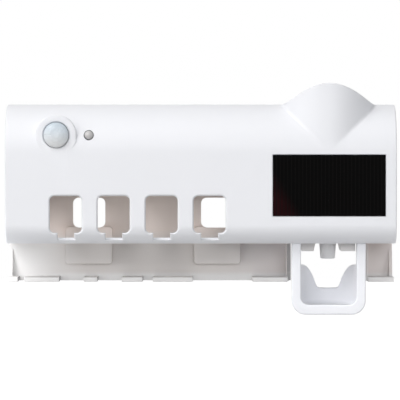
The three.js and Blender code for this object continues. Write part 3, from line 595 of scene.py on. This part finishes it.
def cover_direction(point, facing):
    """The direction of the roll or the collar at a corner of a face that lies on it, or None."""
    ways = []
    if off_section(point) < NEAR_SKIN:
        ways.append(section_direction(point))
    from_axis = Vector((point.x - TUBE_X, point.y - collar_y, 0))
    if abs(from_axis.length - COLLAR) < NEAR_SKIN and point.y < collar_y + 1 and point.z > roll_z:
        ways.append(from_axis.normalized())
    best = max(ways, key=facing.dot, default=None)
    if not best or best.dot(facing) < SAME_FACE:
        return None
    return sum(ways, Vector()).normalized()


# %% [markdown]
# The windows run down over the under roll, and an edge that crosses many narrow flats can't be rounded
# well. So the roll is laid out flat first, as if it were peeled off: then the front is one plane. The
# window edges are rounded there, the sheet is scored again where the flats met, and it is rolled up. A hand
# goes through these edges, so they get the largest radius.

# %% Lay the under roll flat and roll it up again
CHORD_SAG = 0.03
ON_LINE = 0.01
TINY = 0.001


def laid_flat(point):
    """Where a point of the under roll lies when its outer line hangs straight down from the front."""
    across, down = under_y - point.y, under_z - point.z
    sunk = UNDER_ROLL - math.hypot(across, down)
    sunk = sunk if sunk > CHORD_SAG else 0.0
    return Vector((point.x, FRONT + sunk, under_z - UNDER_ROLL * math.atan2(down, across)))


def rolled_up(point):
    """The way back from laid_flat."""
    turn = (under_z - point.z) / UNDER_ROLL
    reach = UNDER_ROLL - (point.y - FRONT)
    return Vector((point.x, under_y - reach * math.cos(turn), under_z - reach * math.sin(turn)))


def move_under_roll(bm, moved):
    for vert in bm.verts:
        place = vert.co / MM
        if place.z < under_z and place.y < under_y + ON_LINE:
            vert.co = moved(place) * MM


def cut(bm, faces, place, across):
    """Cuts the faces where a plane through the place, in mm, and square to across meets them."""
    edges = {edge for face in faces for edge in face.edges}
    verts = {vert for face in faces for vert in face.verts}
    sheet = [*verts, *edges, *faces]
    bmesh.ops.bisect_plane(bm, geom=sheet, plane_co=place * MM, plane_no=across, dist=TINY * MM)


def score(bm, places, along):
    """Cuts the sheet in front along planes at places on one axis, in mm."""
    rear = (under_y + 2 * ON_LINE) * MM
    for place in places:
        faces = [face for face in bm.faces if max(vert.co.y for vert in face.verts) < rear]
        cut(bm, faces, along * place, along)


# %% Round the windows
WINDOW_EDGE = 1.5
FLATS = 20
FLAT_JOINT = math.radians(0.5)
WINDOWS = 4
FIRST_WINDOW_X = -84.6
WINDOW_PITCH = 30.0
CLEAR_OF_WINDOWS = WINDOW_TOP + 4
middles = [FIRST_WINDOW_X + WINDOW_PITCH * i for i in range(WINDOWS)]


def needless(edge):
    """On the flat front near the windows, and on none of the new cuts."""
    ends = [vert.co / MM for vert in edge.verts]
    on_front = all(abs(end.y - FRONT) < ON_LINE and end.z < CLEAR_OF_WINDOWS + ON_LINE for end in ends)
    on_cut = any(all(abs(end.x - middle) < ON_LINE for end in ends) for middle in middles)
    return on_front and not on_cut and min(end.z for end in ends) < CLEAR_OF_WINDOWS - ON_LINE


cover = joined_faces("front_cover")
move_under_roll(cover, laid_flat)
score(cover, middles, Vector((1, 0, 0)))
score(cover, [CLEAR_OF_WINDOWS], Vector((0, 0, 1)))
joints = [edge for edge in cover.edges if needless(edge) and edge.calc_face_angle(1.0) < FLAT_JOINT]
bmesh.ops.dissolve_edges(cover, edges=joints, use_verts=True)
print("window edges:", round_edges(cover, WINDOW_EDGE, at_window, steps=5))
score(cover, [under_z - (under_z - FLAT_END) * i / FLATS for i in range(FLATS)], Vector((0, 0, 1)))
move_under_roll(cover, rolled_up)

# %% [markdown]
# The collar's rim is drawn in towards its ends like a bell, and a fillet runs along its foot. The fillet is
# only a few millimetres wide, so it is left to the shading: the skin is scored on both sides of the foot,
# and the corners on the foot itself face halfway between roll and collar.

# %% Shape the collar
BELL = 1.5
FILLET = 1.4


def draw_in_rim(bm):
    """Lowers the rim where it is already low."""
    height = max(vert.co.z for vert in bm.verts) / MM - CASE_TOP
    for vert in bm.verts:
        above = vert.co.z / MM - CASE_TOP
        if above > 0:
            vert.co.z = (CASE_TOP + height * (above / height) ** BELL) * MM


def beside_foot(face, side):
    """High on the cover, on one side of the tube, and not turned to the wall."""
    middle = face.calc_center_median() / MM
    return middle.z > roll_z and (middle.x - TUBE_X) * side > 0 and face.normal.y < 0.01


def score_foot(bm):
    """Cuts the skin beside the collar's foot, which lies in two planes at 45 degrees."""
    for side in (-1, 1):
        across = Vector((side, 0, -1)).normalized()
        for shift in (-FILLET, FILLET):
            faces = [face for face in bm.faces if beside_foot(face, side)]
            cut(bm, faces, Vector((TUBE_X, 0, roll_z)) + across * shift, across)


draw_in_rim(cover)
score_foot(cover)
print("rim height in mm:", round(max(vert.co.z for vert in cover.verts) / MM, 1))

# %% Make the front cover
RIM_EDGE = 0.8
BOSS_EDGE = 0.9
RECESS_EDGE = 0.25
print("collar rim edges:", round_edges(cover, RIM_EDGE, at_collar_rim))
print("boss edges:", round_edges(cover, BOSS_EDGE, at_boss))
print("recess edges:", round_edges(cover, RECESS_EDGE, at_panel_recess, steps=2))
add_piece(
    "cover_shell", cover, shell_white, "case", "white_plastic", "front_cover", direction=cover_direction
)

# %% [markdown]
# ## Rear housing
# The back plate, its hook pockets and the drain lip are one moulding. What shows of it, under the cover and
# through the windows, gets small radii on the pads, the holes and the lip.

# %% Make the rear housing
PAD_FRONT = -7.4
PAD_HIGH = -41.0
PAD_EDGE = 0.9
PLATE_FRONT = -2.4
PLATE_EDGE = 0.5
PUMP_BAY = 50.0


def at_pad(point):
    return abs(point.y - PAD_FRONT) < ON_SKIN and point.z < PAD_HIGH


def at_housing_front(point):
    in_front = point.y < PLATE_FRONT - NEAR_SKIN and not at_pad(point)
    return in_front and point.z < WINDOW_TOP + 3 and point.x < PUMP_BAY


housing = joined_faces("rear_housing", PLATE_FRONT + NEAR_SKIN)
print("pad edges:", round_edges(housing, PAD_EDGE, at_pad))
print("housing edges:", round_edges(housing, PLATE_EDGE, at_housing_front, steps=2))
add_piece("housing_back", housing, housing_white, "case", "inner_plastic", "rear_housing")

# %% [markdown]
# ## Push lever
# A brush is pushed into the loop's cup, the loop swings back on its pin, and its bridge presses the pump.
# The real loop is a smooth moulding, so it is built here as three skins: a bar with rounded edges along a
# U, a half-round cup whose rim dips at the back, and the bridge. A skin over rings of points gives clean
# round edges that a rounded copy of the solid can't, as the cup meets the legs at a very flat angle.

# %% A skin over rings of points
def skin(bm, rings, capped=True):
    """Faces between each ring of points and the next, all rings with the same count, in mm."""
    loops = [[bm.verts.new(Vector(point) * MM) for point in ring] for ring in rings]
    count = len(loops[0])
    for first, second in zip(loops, loops[1:]):
        for i in range(count):
            j = (i + 1) % count
            bm.faces.new((first[i], first[j], second[j], second[i]))
    if capped:
        bm.faces.new(list(reversed(loops[0])))
        bm.faces.new(loops[-1])


def arc(across, along, radius, start, end, steps):
    """Points round a middle, from one angle to another in degrees."""
    turns = [math.radians(start + (end - start) * i / steps) for i in range(steps + 1)]
    return [(across + radius * math.cos(turn), along + radius * math.sin(turn)) for turn in turns]


def rounded_section(half_width, half_depth, radius, steps=4):
    """The outline of a bar with round edges, as pairs of width and depth."""
    radius = min(radius, 0.95 * half_width, 0.95 * half_depth)
    width, depth = half_width - radius, half_depth - radius
    outline = []
    for across, along, start in ((1, 1, 0), (-1, 1, 90), (-1, -1, 180), (1, -1, 270)):
        outline += arc(across * width, along * depth, radius, start, start + 90, steps)
    return outline


# %% The lever's loop
lever_low, lever_high = (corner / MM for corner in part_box("push_lever"))
pin_low, pin_high = (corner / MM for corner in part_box("pivot_pin"))
LEVER_X = (lever_low.x + lever_high.x) / 2
LEVER_HALF = (lever_high.x - lever_low.x) / 2
PIN = (pin_low + pin_high) / 2
LEG_WIDTH = 5.8
LEG_DEPTH = 10.0
BAR = 6.3
OUTER_CORNER = 8.8
INNER_CORNER = 5.0
LEVER_EDGE = 1.0
EYE_STEPS = 5
LEAST_DEPTH = 0.4
leg_middle_y = lever_low.y + LEG_DEPTH / 2
loop_inside = LEVER_HALF - LEG_WIDTH
loop_floor = lever_low.z + BAR
print("loop outside and inside in mm:", round(2 * LEVER_HALF, 1), round(2 * loop_inside, 1))


def loop_side(side, steps=10):
    """Pairs of outer and inner points down one leg and round its corner, to the middle of the bar."""
    eye_radius = LEG_DEPTH / 2
    pairs = []
    for i in range(EYE_STEPS + 1):
        z = PIN.z + eye_radius * math.cos(math.pi / 2 * i / EYE_STEPS)
        pairs.append(((LEVER_HALF, z), (loop_inside, z)))
    outer = arc(LEVER_HALF - OUTER_CORNER, lever_low.z + OUTER_CORNER, OUTER_CORNER, 0, -90, steps)
    inner = arc(loop_inside - INNER_CORNER, loop_floor + INNER_CORNER, INNER_CORNER, 0, -90, steps)
    pairs += zip(outer, inner)
    return [((side * a[0], a[1]), (side * b[0], b[1])) for a, b in pairs]


def loop_rings():
    """The bar's outline at each step along the U."""
    pairs = loop_side(-1) + loop_side(1)[::-1]
    rings = []
    for outer, inner in pairs:
        outward = Vector((outer[0] - inner[0], outer[1] - inner[1]))
        middle = Vector(((outer[0] + inner[0]) / 2, (outer[1] + inner[1]) / 2))
        half = outward.length / 2
        outward.normalize()
        above_pin = max(0.0, outer[1] - PIN.z)
        depth = max(LEAST_DEPTH, math.sqrt(max(0.0, (LEG_DEPTH / 2) ** 2 - above_pin ** 2)))
        ring = []
        for across, along in rounded_section(half, depth, LEVER_EDGE):
            flat = middle + across * outward
            ring.append((LEVER_X + flat.x, leg_middle_y + along, flat.y))
        rings.append(ring)
    return rings


# %% The lever's cup
CUP_WALL = 2.2
CUP_FLOOR = 2.4
CUP_TOP = -61.0
CUP_DIP = -76.2
CUP_FILLET = 2.5
DIP_HALF = 7.0
DIP_SOFT = 0.8
RIM_POWER = 2.3


def rim_height(across):
    """How high the cup's wall stands at a distance from its middle: low at the back, high at the legs."""
    past_dip = abs(across) - DIP_HALF
    soft = (past_dip + math.hypot(past_dip, DIP_SOFT)) / 2
    share = min(1.0, soft / (loop_inside - DIP_HALF))
    return CUP_DIP + (CUP_TOP - CUP_DIP) * (1 - (1 - share) ** RIM_POWER)


def cup_profile(turn, steps=6):
    """The cup's cut face at one angle: floor, inner corner, wall, round rim, and back under the floor."""
    rim = rim_height((loop_inside + CUP_WALL / 2) * math.cos(turn))
    round_rim = CUP_WALL / 2
    profile = [(0.2, loop_floor), (loop_inside * 0.5, loop_floor)]
    profile += arc(loop_inside - CUP_FILLET, loop_floor + CUP_FILLET, CUP_FILLET, -90, 0, steps)
    profile += arc(loop_inside + round_rim, rim - round_rim, round_rim, 180, 0, steps)
    under = loop_floor - CUP_FLOOR
    profile += arc(loop_inside + CUP_WALL - CUP_FILLET, under + CUP_FILLET, CUP_FILLET, 0, -90, steps)
    profile += [(loop_inside * 0.5, under), (0.2, under)]
    return profile


def cup_rings(steps=56):
    rings = []
    for i in range(steps + 1):
        turn = math.pi * i / steps
        rings.append([
            (LEVER_X + reach * math.cos(turn), leg_middle_y + reach * math.sin(turn), z)
            for reach, z in cup_profile(turn)
        ])
    return rings


print("cup rim heights in mm:", round(rim_height(0), 1), round(rim_height(loop_inside), 1))

# %% Make the push lever
BRIDGE_HALF = 3.5
BRIDGE_THICK = 3.3
BRIDGE_EDGE = 0.8
BRIDGE_END = loop_inside + 0.5
PUMP_Z = -35.5
lever = bmesh.new()
skin(lever, loop_rings())
skin(lever, cup_rings())
bridge_y = lever_low.y + BRIDGE_THICK / 2
bridge_section = rounded_section(BRIDGE_HALF, BRIDGE_THICK / 2, BRIDGE_EDGE)
skin(lever, [
    [(LEVER_X + x, bridge_y + along, PUMP_Z + across) for across, along in bridge_section]
    for x in (-BRIDGE_END, BRIDGE_END)
])
bmesh.ops.recalc_face_normals(lever, faces=lever.faces)
add_piece("lever_loop", lever, lever_white, "lever", "white_plastic", "push_lever")

# %% [markdown]
# ## Paste pump
# Only two feet of the pump's body and its grey outlet show under the case. The outlet is turned, so it is a
# skin over circles: a soft tapered spout with a thick rolled end.

# %% A turned skin
def turned(bm, profile, middle, axis, sides=48):
    """Turns a closed profile, as pairs of radius and height in mm, round an axis along Y or Z."""
    rings = []
    for i in range(sides):
        turn = 2 * math.pi * i / sides
        ring = []
        for radius, height in profile:
            a, b = radius * math.cos(turn), radius * math.sin(turn)
            if axis == "Y":
                ring.append((middle.x + a, height, middle.z + b))
            else:
                ring.append((middle.x + a, middle.y + b, height))
        rings.append(ring)
    rings.append(rings[0])
    skin(bm, rings, capped=False)
    bmesh.ops.remove_doubles(bm, verts=bm.verts, dist=TINY * MM)
    bmesh.ops.recalc_face_normals(bm, faces=bm.faces)


# %% Make the outlet
outlet_low, outlet_high = (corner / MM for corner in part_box("nozzle"))
OUTLET_TOP = 5.6
OUTLET_TIP = 4.7
OUTLET_BORE = 2.4
SPIGOT = 4.2
OUTLET_SHOULDER = -46.7
TIP_ROUND = 0.9
TIP_STEPS = 6
tip = outlet_low.z
outlet_profile = [(OUTLET_BORE, outlet_high.z), (OUTLET_BORE, tip + 1.2)]
for i in range(TIP_STEPS + 1):
    bend = math.pi * i / TIP_STEPS
    outlet_profile.append((
        (OUTLET_BORE + OUTLET_TIP) / 2 - (OUTLET_TIP - OUTLET_BORE) / 2 * math.cos(bend),
        tip + TIP_ROUND - TIP_ROUND * math.sin(bend),
    ))
outlet_profile += [(OUTLET_TOP - 0.4, OUTLET_SHOULDER - 2.5), (OUTLET_TOP, OUTLET_SHOULDER - 0.8)]
outlet_profile += [(OUTLET_TOP, OUTLET_SHOULDER - 0.2), (OUTLET_TOP - 0.2, OUTLET_SHOULDER)]
outlet_profile += [(SPIGOT, OUTLET_SHOULDER), (SPIGOT, outlet_high.z)]
outlet = bmesh.new()
turned(outlet, outlet_profile, (outlet_low + outlet_high) / 2, "Z")
add_piece("paste_outlet", outlet, outlet_grey, "case", "soft_grey", "nozzle")

# %% Make the pump's body
FOOT_EDGE = 0.5
FEET_HIGH = -44.0
FEET_FROM = 6.0


def at_foot(point):
    return point.z < FEET_HIGH and abs(point.x - LEVER_X) > FEET_FROM


pump = joined_faces("dispenser_body")
print("pump edges:", round_edges(pump, FOOT_EDGE, at_foot))
add_piece("pump_body", pump, inner_white, "case", "inner_plastic", "dispenser_body")

# %% [markdown]
# ## Motion lens
# The dome over the motion sensor is thin milky plastic, moulded with small facets that split the room into
# zones. The facets show as shallow grooves in rings and spokes, so each point of the dome is pushed in
# where it lies near a groove.

# %% Facets of the lens
LENS_RISE = 4.2
LENS_RADIUS = 7.9
GROOVE_DEEP = 0.2
GROOVE_HALF = 0.3
FACET_RINGS = (0.0, 2.6, 5.2)
FACET_SPOKES = (0, 6, 10)


def near_groove(reach, turn):
    """1 in the middle of a groove, 0 away from it."""
    rings = [abs(reach - ring) for ring in FACET_RINGS[1:]]
    band = max(i for i, ring in enumerate(FACET_RINGS) if reach >= ring)
    if FACET_SPOKES[band]:
        step = 2 * math.pi / FACET_SPOKES[band]
        off = abs((turn + step / 2) % step - step / 2)
        rings.append(off * reach)
    return max(0.0, 1 - min(rings) / GROOVE_HALF)


def lens_point(share, turn):
    reach = LENS_RADIUS * math.sin(share * math.pi / 2)
    rise = LENS_RISE * math.cos(share * math.pi / 2)
    rise -= GROOVE_DEEP * near_groove(reach, turn)
    across, up = reach * math.cos(turn), reach * math.sin(turn)
    return (lens_middle.x + across, FRONT - rise, lens_middle.z + up)


# %% Make the motion lens
LENS_SIDES = 120
LENS_STEPS = 40
FLANGE = lens_high.x - lens_middle.x
FLANGE_FRONT = lens_high.y - 1
lens = bmesh.new()
lens_turns = [2 * math.pi * j / LENS_SIDES for j in range(LENS_SIDES)]
shares = [max(0.01, i / LENS_STEPS) for i in range(LENS_STEPS + 1)]
lens_rings = [[lens_point(share, turn) for turn in lens_turns] for share in shares]
for radius, y in ((LENS_RADIUS, FLANGE_FRONT), (FLANGE, FLANGE_FRONT), (FLANGE, lens_high.y)):
    lens_rings.append([
        (lens_middle.x + radius * math.cos(turn), y, lens_middle.z + radius * math.sin(turn))
        for turn in lens_turns
    ])
skin(lens, lens_rings)
bmesh.ops.recalc_face_normals(lens, faces=lens.faces)
lens_milky = moulded("lens_milky", (0.53, 0.60, 0.67), (0.57, 0.64, 0.70), (0.1, 0.17), 700.0, 0.04)
# Painted reflection: the dome's lower part is painted warmer and paler than its bluish top.
paint_light_and_shade(lens_milky, (1.34, 1.2, 1.09), Z=(-50, -40, lens_middle.z - 9, lens_middle.z + 7))
add_piece("motion_lens", lens, lens_milky, "case", "lens_plastic", "pir_lens")

# %% [markdown]
# ## Indicator
# A five millimetre lamp of cloudy resin sits in its hole. It is off, so it shows as a grey bead. It is
# turned finely, and its two legs stay as they are in the solid behind it.

# %% Make the indicator
led_low, led_high = (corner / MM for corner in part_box("indicator_led"))
LED_RADIUS = 2.8
LED_RIM = 2.9
LED_LONG = 8.6
LED_STEPS = 10
LEG_APART = 2.54
LEG_RADIUS = 0.3
ON_AXIS = 0.01
led_middle = (led_low + led_high) / 2
led_base = led_low.y + LED_LONG
led_profile = [(ON_AXIS, led_low.y), *arc(0, led_low.y + LED_RADIUS, LED_RADIUS, -90, 0, LED_STEPS)[1:]]
led_profile += [(LED_RADIUS, led_base - 1), (LED_RIM, led_base - 1)]
led_profile += [(LED_RIM, led_base), (ON_AXIS, led_base)]
led = bmesh.new()
turned(led, led_profile, led_middle, "Y", 32)
for across in (-LEG_APART / 2, LEG_APART / 2):
    leg = [(ON_AXIS, led_base), (LEG_RADIUS, led_base), (LEG_RADIUS, led_high.y), (ON_AXIS, led_high.y)]
    turned(led, leg, led_middle + Vector((across, 0, 0)), "Y", 10)
led_cloudy = moulded("led_cloudy", (0.5, 0.49, 0.49), (0.56, 0.55, 0.55), (0.12, 0.2), 500.0, 0.03)
add_piece("indicator_bead", led, led_cloudy, "case", "clear_plastic", "indicator_led")

# %% [markdown]
# ## Solar panel
# The panel is a thin glass plate over dark cells. The cells are narrow upright strips with hairlines
# between them, and the glass has a faint red cast in one corner. The plate's edges are ground, so they are
# rounded, and the strips belong in the material: they lie under the glass and have no height.

# %% Strips under glass
def striped_cells(name, pitch, line, corner, reach):
    """Dark strips along Z with paler hairlines, warming to red in one corner as far as reach, in mm."""
    material, nodes, links, shader = bare_material(name)
    where = nodes.new("ShaderNodeTexCoord")
    apart = nodes.new("ShaderNodeSeparateXYZ")
    links.new(where.outputs["Object"], apart.inputs[0])
    count = math_node(nodes, "DIVIDE", pitch * MM)
    links.new(apart.outputs["X"], count.inputs[0])
    within = math_node(nodes, "FRACT")
    links.new(count.outputs[0], within.inputs[0])
    hair = math_node(nodes, "LESS_THAN", line / pitch)
    links.new(within.outputs[0], hair.inputs[0])
    away = math_node(nodes, "ADD")
    for i, axis in enumerate("XZ"):
        step = nodes.new("ShaderNodeMapRange")
        step.inputs["From Min"].default_value = corner[axis] * MM
        step.inputs["From Max"].default_value = (corner[axis] + reach[axis]) * MM
        links.new(apart.outputs[axis], step.inputs["Value"])
        links.new(step.outputs["Result"], away.inputs[i])
    cloud = nodes.new("ShaderNodeTexNoise")
    cloud.inputs["Scale"].default_value = 60.0
    links.new(where.outputs["Object"], cloud.inputs["Vector"])
    near = fade(nodes, links, away.outputs[0], 1.1, 0.1)
    strip = nodes.new("ShaderNodeMix")
    strip.data_type = "RGBA"
    strip.inputs[6].default_value = (0.0016, 0.0015, 0.0015, 1)
    strip.inputs[7].default_value = (0.046, 0.006, 0.009, 1)
    links.new(product(nodes, links, near, cloud.outputs["Fac"]), strip.inputs["Factor"])
    lined = nodes.new("ShaderNodeMix")
    lined.data_type = "RGBA"
    lined.inputs[7].default_value = (0.006, 0.0055, 0.0055, 1)
    links.new(hair.outputs[0], lined.inputs["Factor"])
    links.new(strip.outputs[2], lined.inputs[6])
    links.new(lined.outputs[2], shader.inputs["Base Color"])
    rough = nodes.new("ShaderNodeMapRange")
    rough.inputs["To Min"].default_value = 0.3
    rough.inputs["To Max"].default_value = 0.42
    links.new(cloud.outputs["Fac"], rough.inputs["Value"])
    links.new(rough.outputs["Result"], shader.inputs["Roughness"])
    shader.inputs["Specular IOR Level"].default_value = 0.012
    return material


# %% Make the solar panel
STRIP_PITCH = 2.35
HAIRLINE = 0.35
GLASS_EDGE = 0.3
GLASS_FACE = FRONT + 0.4
red_corner = {"X": panel_low.x, "Z": panel_low.z}
cells = striped_cells("cells_under_glass", STRIP_PITCH, HAIRLINE, red_corner, {"X": 18, "Z": 30})
panel = joined_faces("solar_panel")
print("panel edges:", round_edges(panel, GLASS_EDGE, lambda point: point.y < GLASS_FACE))
add_piece("solar_plate", panel, cells, "case", "solar_cell", "solar_panel")

# %% [markdown]
# ## Return spring
# The spring is a wound wire behind the pump's piston. A helix is a ring of points carried round.

# %% Make the return spring
spring_low, spring_high = (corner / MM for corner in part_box("return_spring"))
SPRING_WIRE = 0.4
SPRING_TURNS = 5
SPRING_STEPS = 36
spring_middle = (spring_low + spring_high) / 2
coil = (spring_high.x - spring_low.x) / 2 - SPRING_WIRE
spring_start = spring_low.y + SPRING_WIRE
spring_long = spring_high.y - spring_low.y - 2 * SPRING_WIRE


def wire_ring(share, sides=10):
    turn = 2 * math.pi * SPRING_TURNS * share
    outward = Vector((math.cos(turn), 0, math.sin(turn)))
    middle = Vector((spring_middle.x, spring_start + spring_long * share, spring_middle.z)) + coil * outward
    section = arc(0, 0, SPRING_WIRE, 0, 360, sides)[:-1]
    return [middle + across * outward + along * Vector((0, 1, 0)) for across, along in section]


spring = bmesh.new()
spring_count = SPRING_TURNS * SPRING_STEPS
skin(spring, [wire_ring(i / spring_count) for i in range(spring_count + 1)])
bmesh.ops.recalc_face_normals(spring, faces=spring.faces)
spring_piece = add_piece("pump_spring", spring, bare_steel, "case", "steel", "return_spring")
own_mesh(spring_piece)

# %% [markdown]
# ## Inner pieces
# The boards, lamps, battery, seals, screws and leads are hidden in use. Their solids have the right shape,
# so each is copied only to shade its round faces smoothly, and gets its own finish. Circuit board is
# lacquer over glass cloth with copper tracks, which a grid of bricks gives well enough.

# %% Circuit board finish
def tracked_board(name):
    material, nodes, links, shader = bare_material(name)
    where = nodes.new("ShaderNodeTexCoord")
    tracks = nodes.new("ShaderNodeTexBrick")
    tracks.inputs["Scale"].default_value = 160.0
    tracks.inputs["Mortar Size"].default_value = 0.06
    tracks.inputs["Color1"].default_value = (0.012, 0.12, 0.05, 1)
    tracks.inputs["Color2"].default_value = (0.016, 0.15, 0.06, 1)
    tracks.inputs["Mortar"].default_value = (0.05, 0.24, 0.09, 1)
    links.new(where.outputs["Object"], tracks.inputs["Vector"])
    links.new(tracks.outputs["Color"], shader.inputs["Base Color"])
    relief = nodes.new("ShaderNodeBump")
    relief.inputs["Strength"].default_value = 0.2
    relief.inputs["Distance"].default_value = 0.05 * MM
    links.new(tracks.outputs["Fac"], relief.inputs["Height"])
    links.new(relief.outputs["Normal"], shader.inputs["Normal"])
    shader.inputs["Roughness"].default_value = 0.35
    return material


board_green = tracked_board("board_green")
print("finish made:", board_green.name)


# %% Clear channel finish
def clear_channel(name):
    material, nodes, links, shader = bare_material(name)
    where = nodes.new("ShaderNodeTexCoord")
    ripple = nodes.new("ShaderNodeTexNoise")
    ripple.inputs["Scale"].default_value = 120.0
    links.new(where.outputs["Object"], ripple.inputs["Vector"])
    rough = nodes.new("ShaderNodeMapRange")
    rough.inputs["To Min"].default_value = 0.05
    rough.inputs["To Max"].default_value = 0.15
    links.new(ripple.outputs["Fac"], rough.inputs["Value"])
    links.new(rough.outputs["Result"], shader.inputs["Roughness"])
    shader.inputs["Base Color"].default_value = (0.93, 0.95, 0.96, 1)
    shader.inputs["Transmission Weight"].default_value = 0.9
    shader.inputs["IOR"].default_value = 1.49
    return material


channel_clear = clear_channel("channel_clear")
print("finish made:", channel_clear.name)

# %% Dress the inner pieces
inner_finishes = {
    "lamp_tray": (inner_white, "inner_plastic"),
    "battery_cradle": (inner_white, "inner_plastic"),
    "pump_plunger": (lever_white, "white_plastic"),
    "tube_seal": (seal_black, "soft_rubber"),
    "plunger_seal": (seal_black, "soft_rubber"),
    "inlet_valve": (outlet_grey, "soft_grey"),
    "pir_sensor": (bare_steel, "steel"),
    "pivot_pin": (bare_steel, "steel"),
    "battery_cell": (cell_wrap, "cell_wrap"),
    "control_board": (board_green, "circuit_board"),
    "control_chip": (chip_black, "chip_black"),
    "board_capacitor": (chip_black, "chip_black"),
    "uv_lamp_board": (board_green, "circuit_board"),
    "lamp_window": (channel_clear, "clear_plastic"),
    "solar_lead": (lead_red, "lead_red"),
    "battery_lead": (lead_red, "lead_red"),
    "lamp_lead": (lead_grey, "lead_grey"),
}
for node in frame["nodes"]:
    if "screw" in node:
        inner_finishes[node] = (bare_steel, "steel")
    if node.startswith("uv_led"):
        inner_finishes[node] = (lamp_cream, "lamp_ceramic")
bodies = {node: body for body, nodes in frame["record"]["behaviour"]["bodies"].items() for node in nodes}
for node, (finish, slot) in inner_finishes.items():
    piece = add_piece(node + "_part", solid_copy(node), finish, bodies[node], slot, node)
    if node.endswith("_lead"):
        smooth = piece.modifiers.new("round_wire", "SUBSURF")
        smooth.levels = 2
        smooth.render_levels = 2
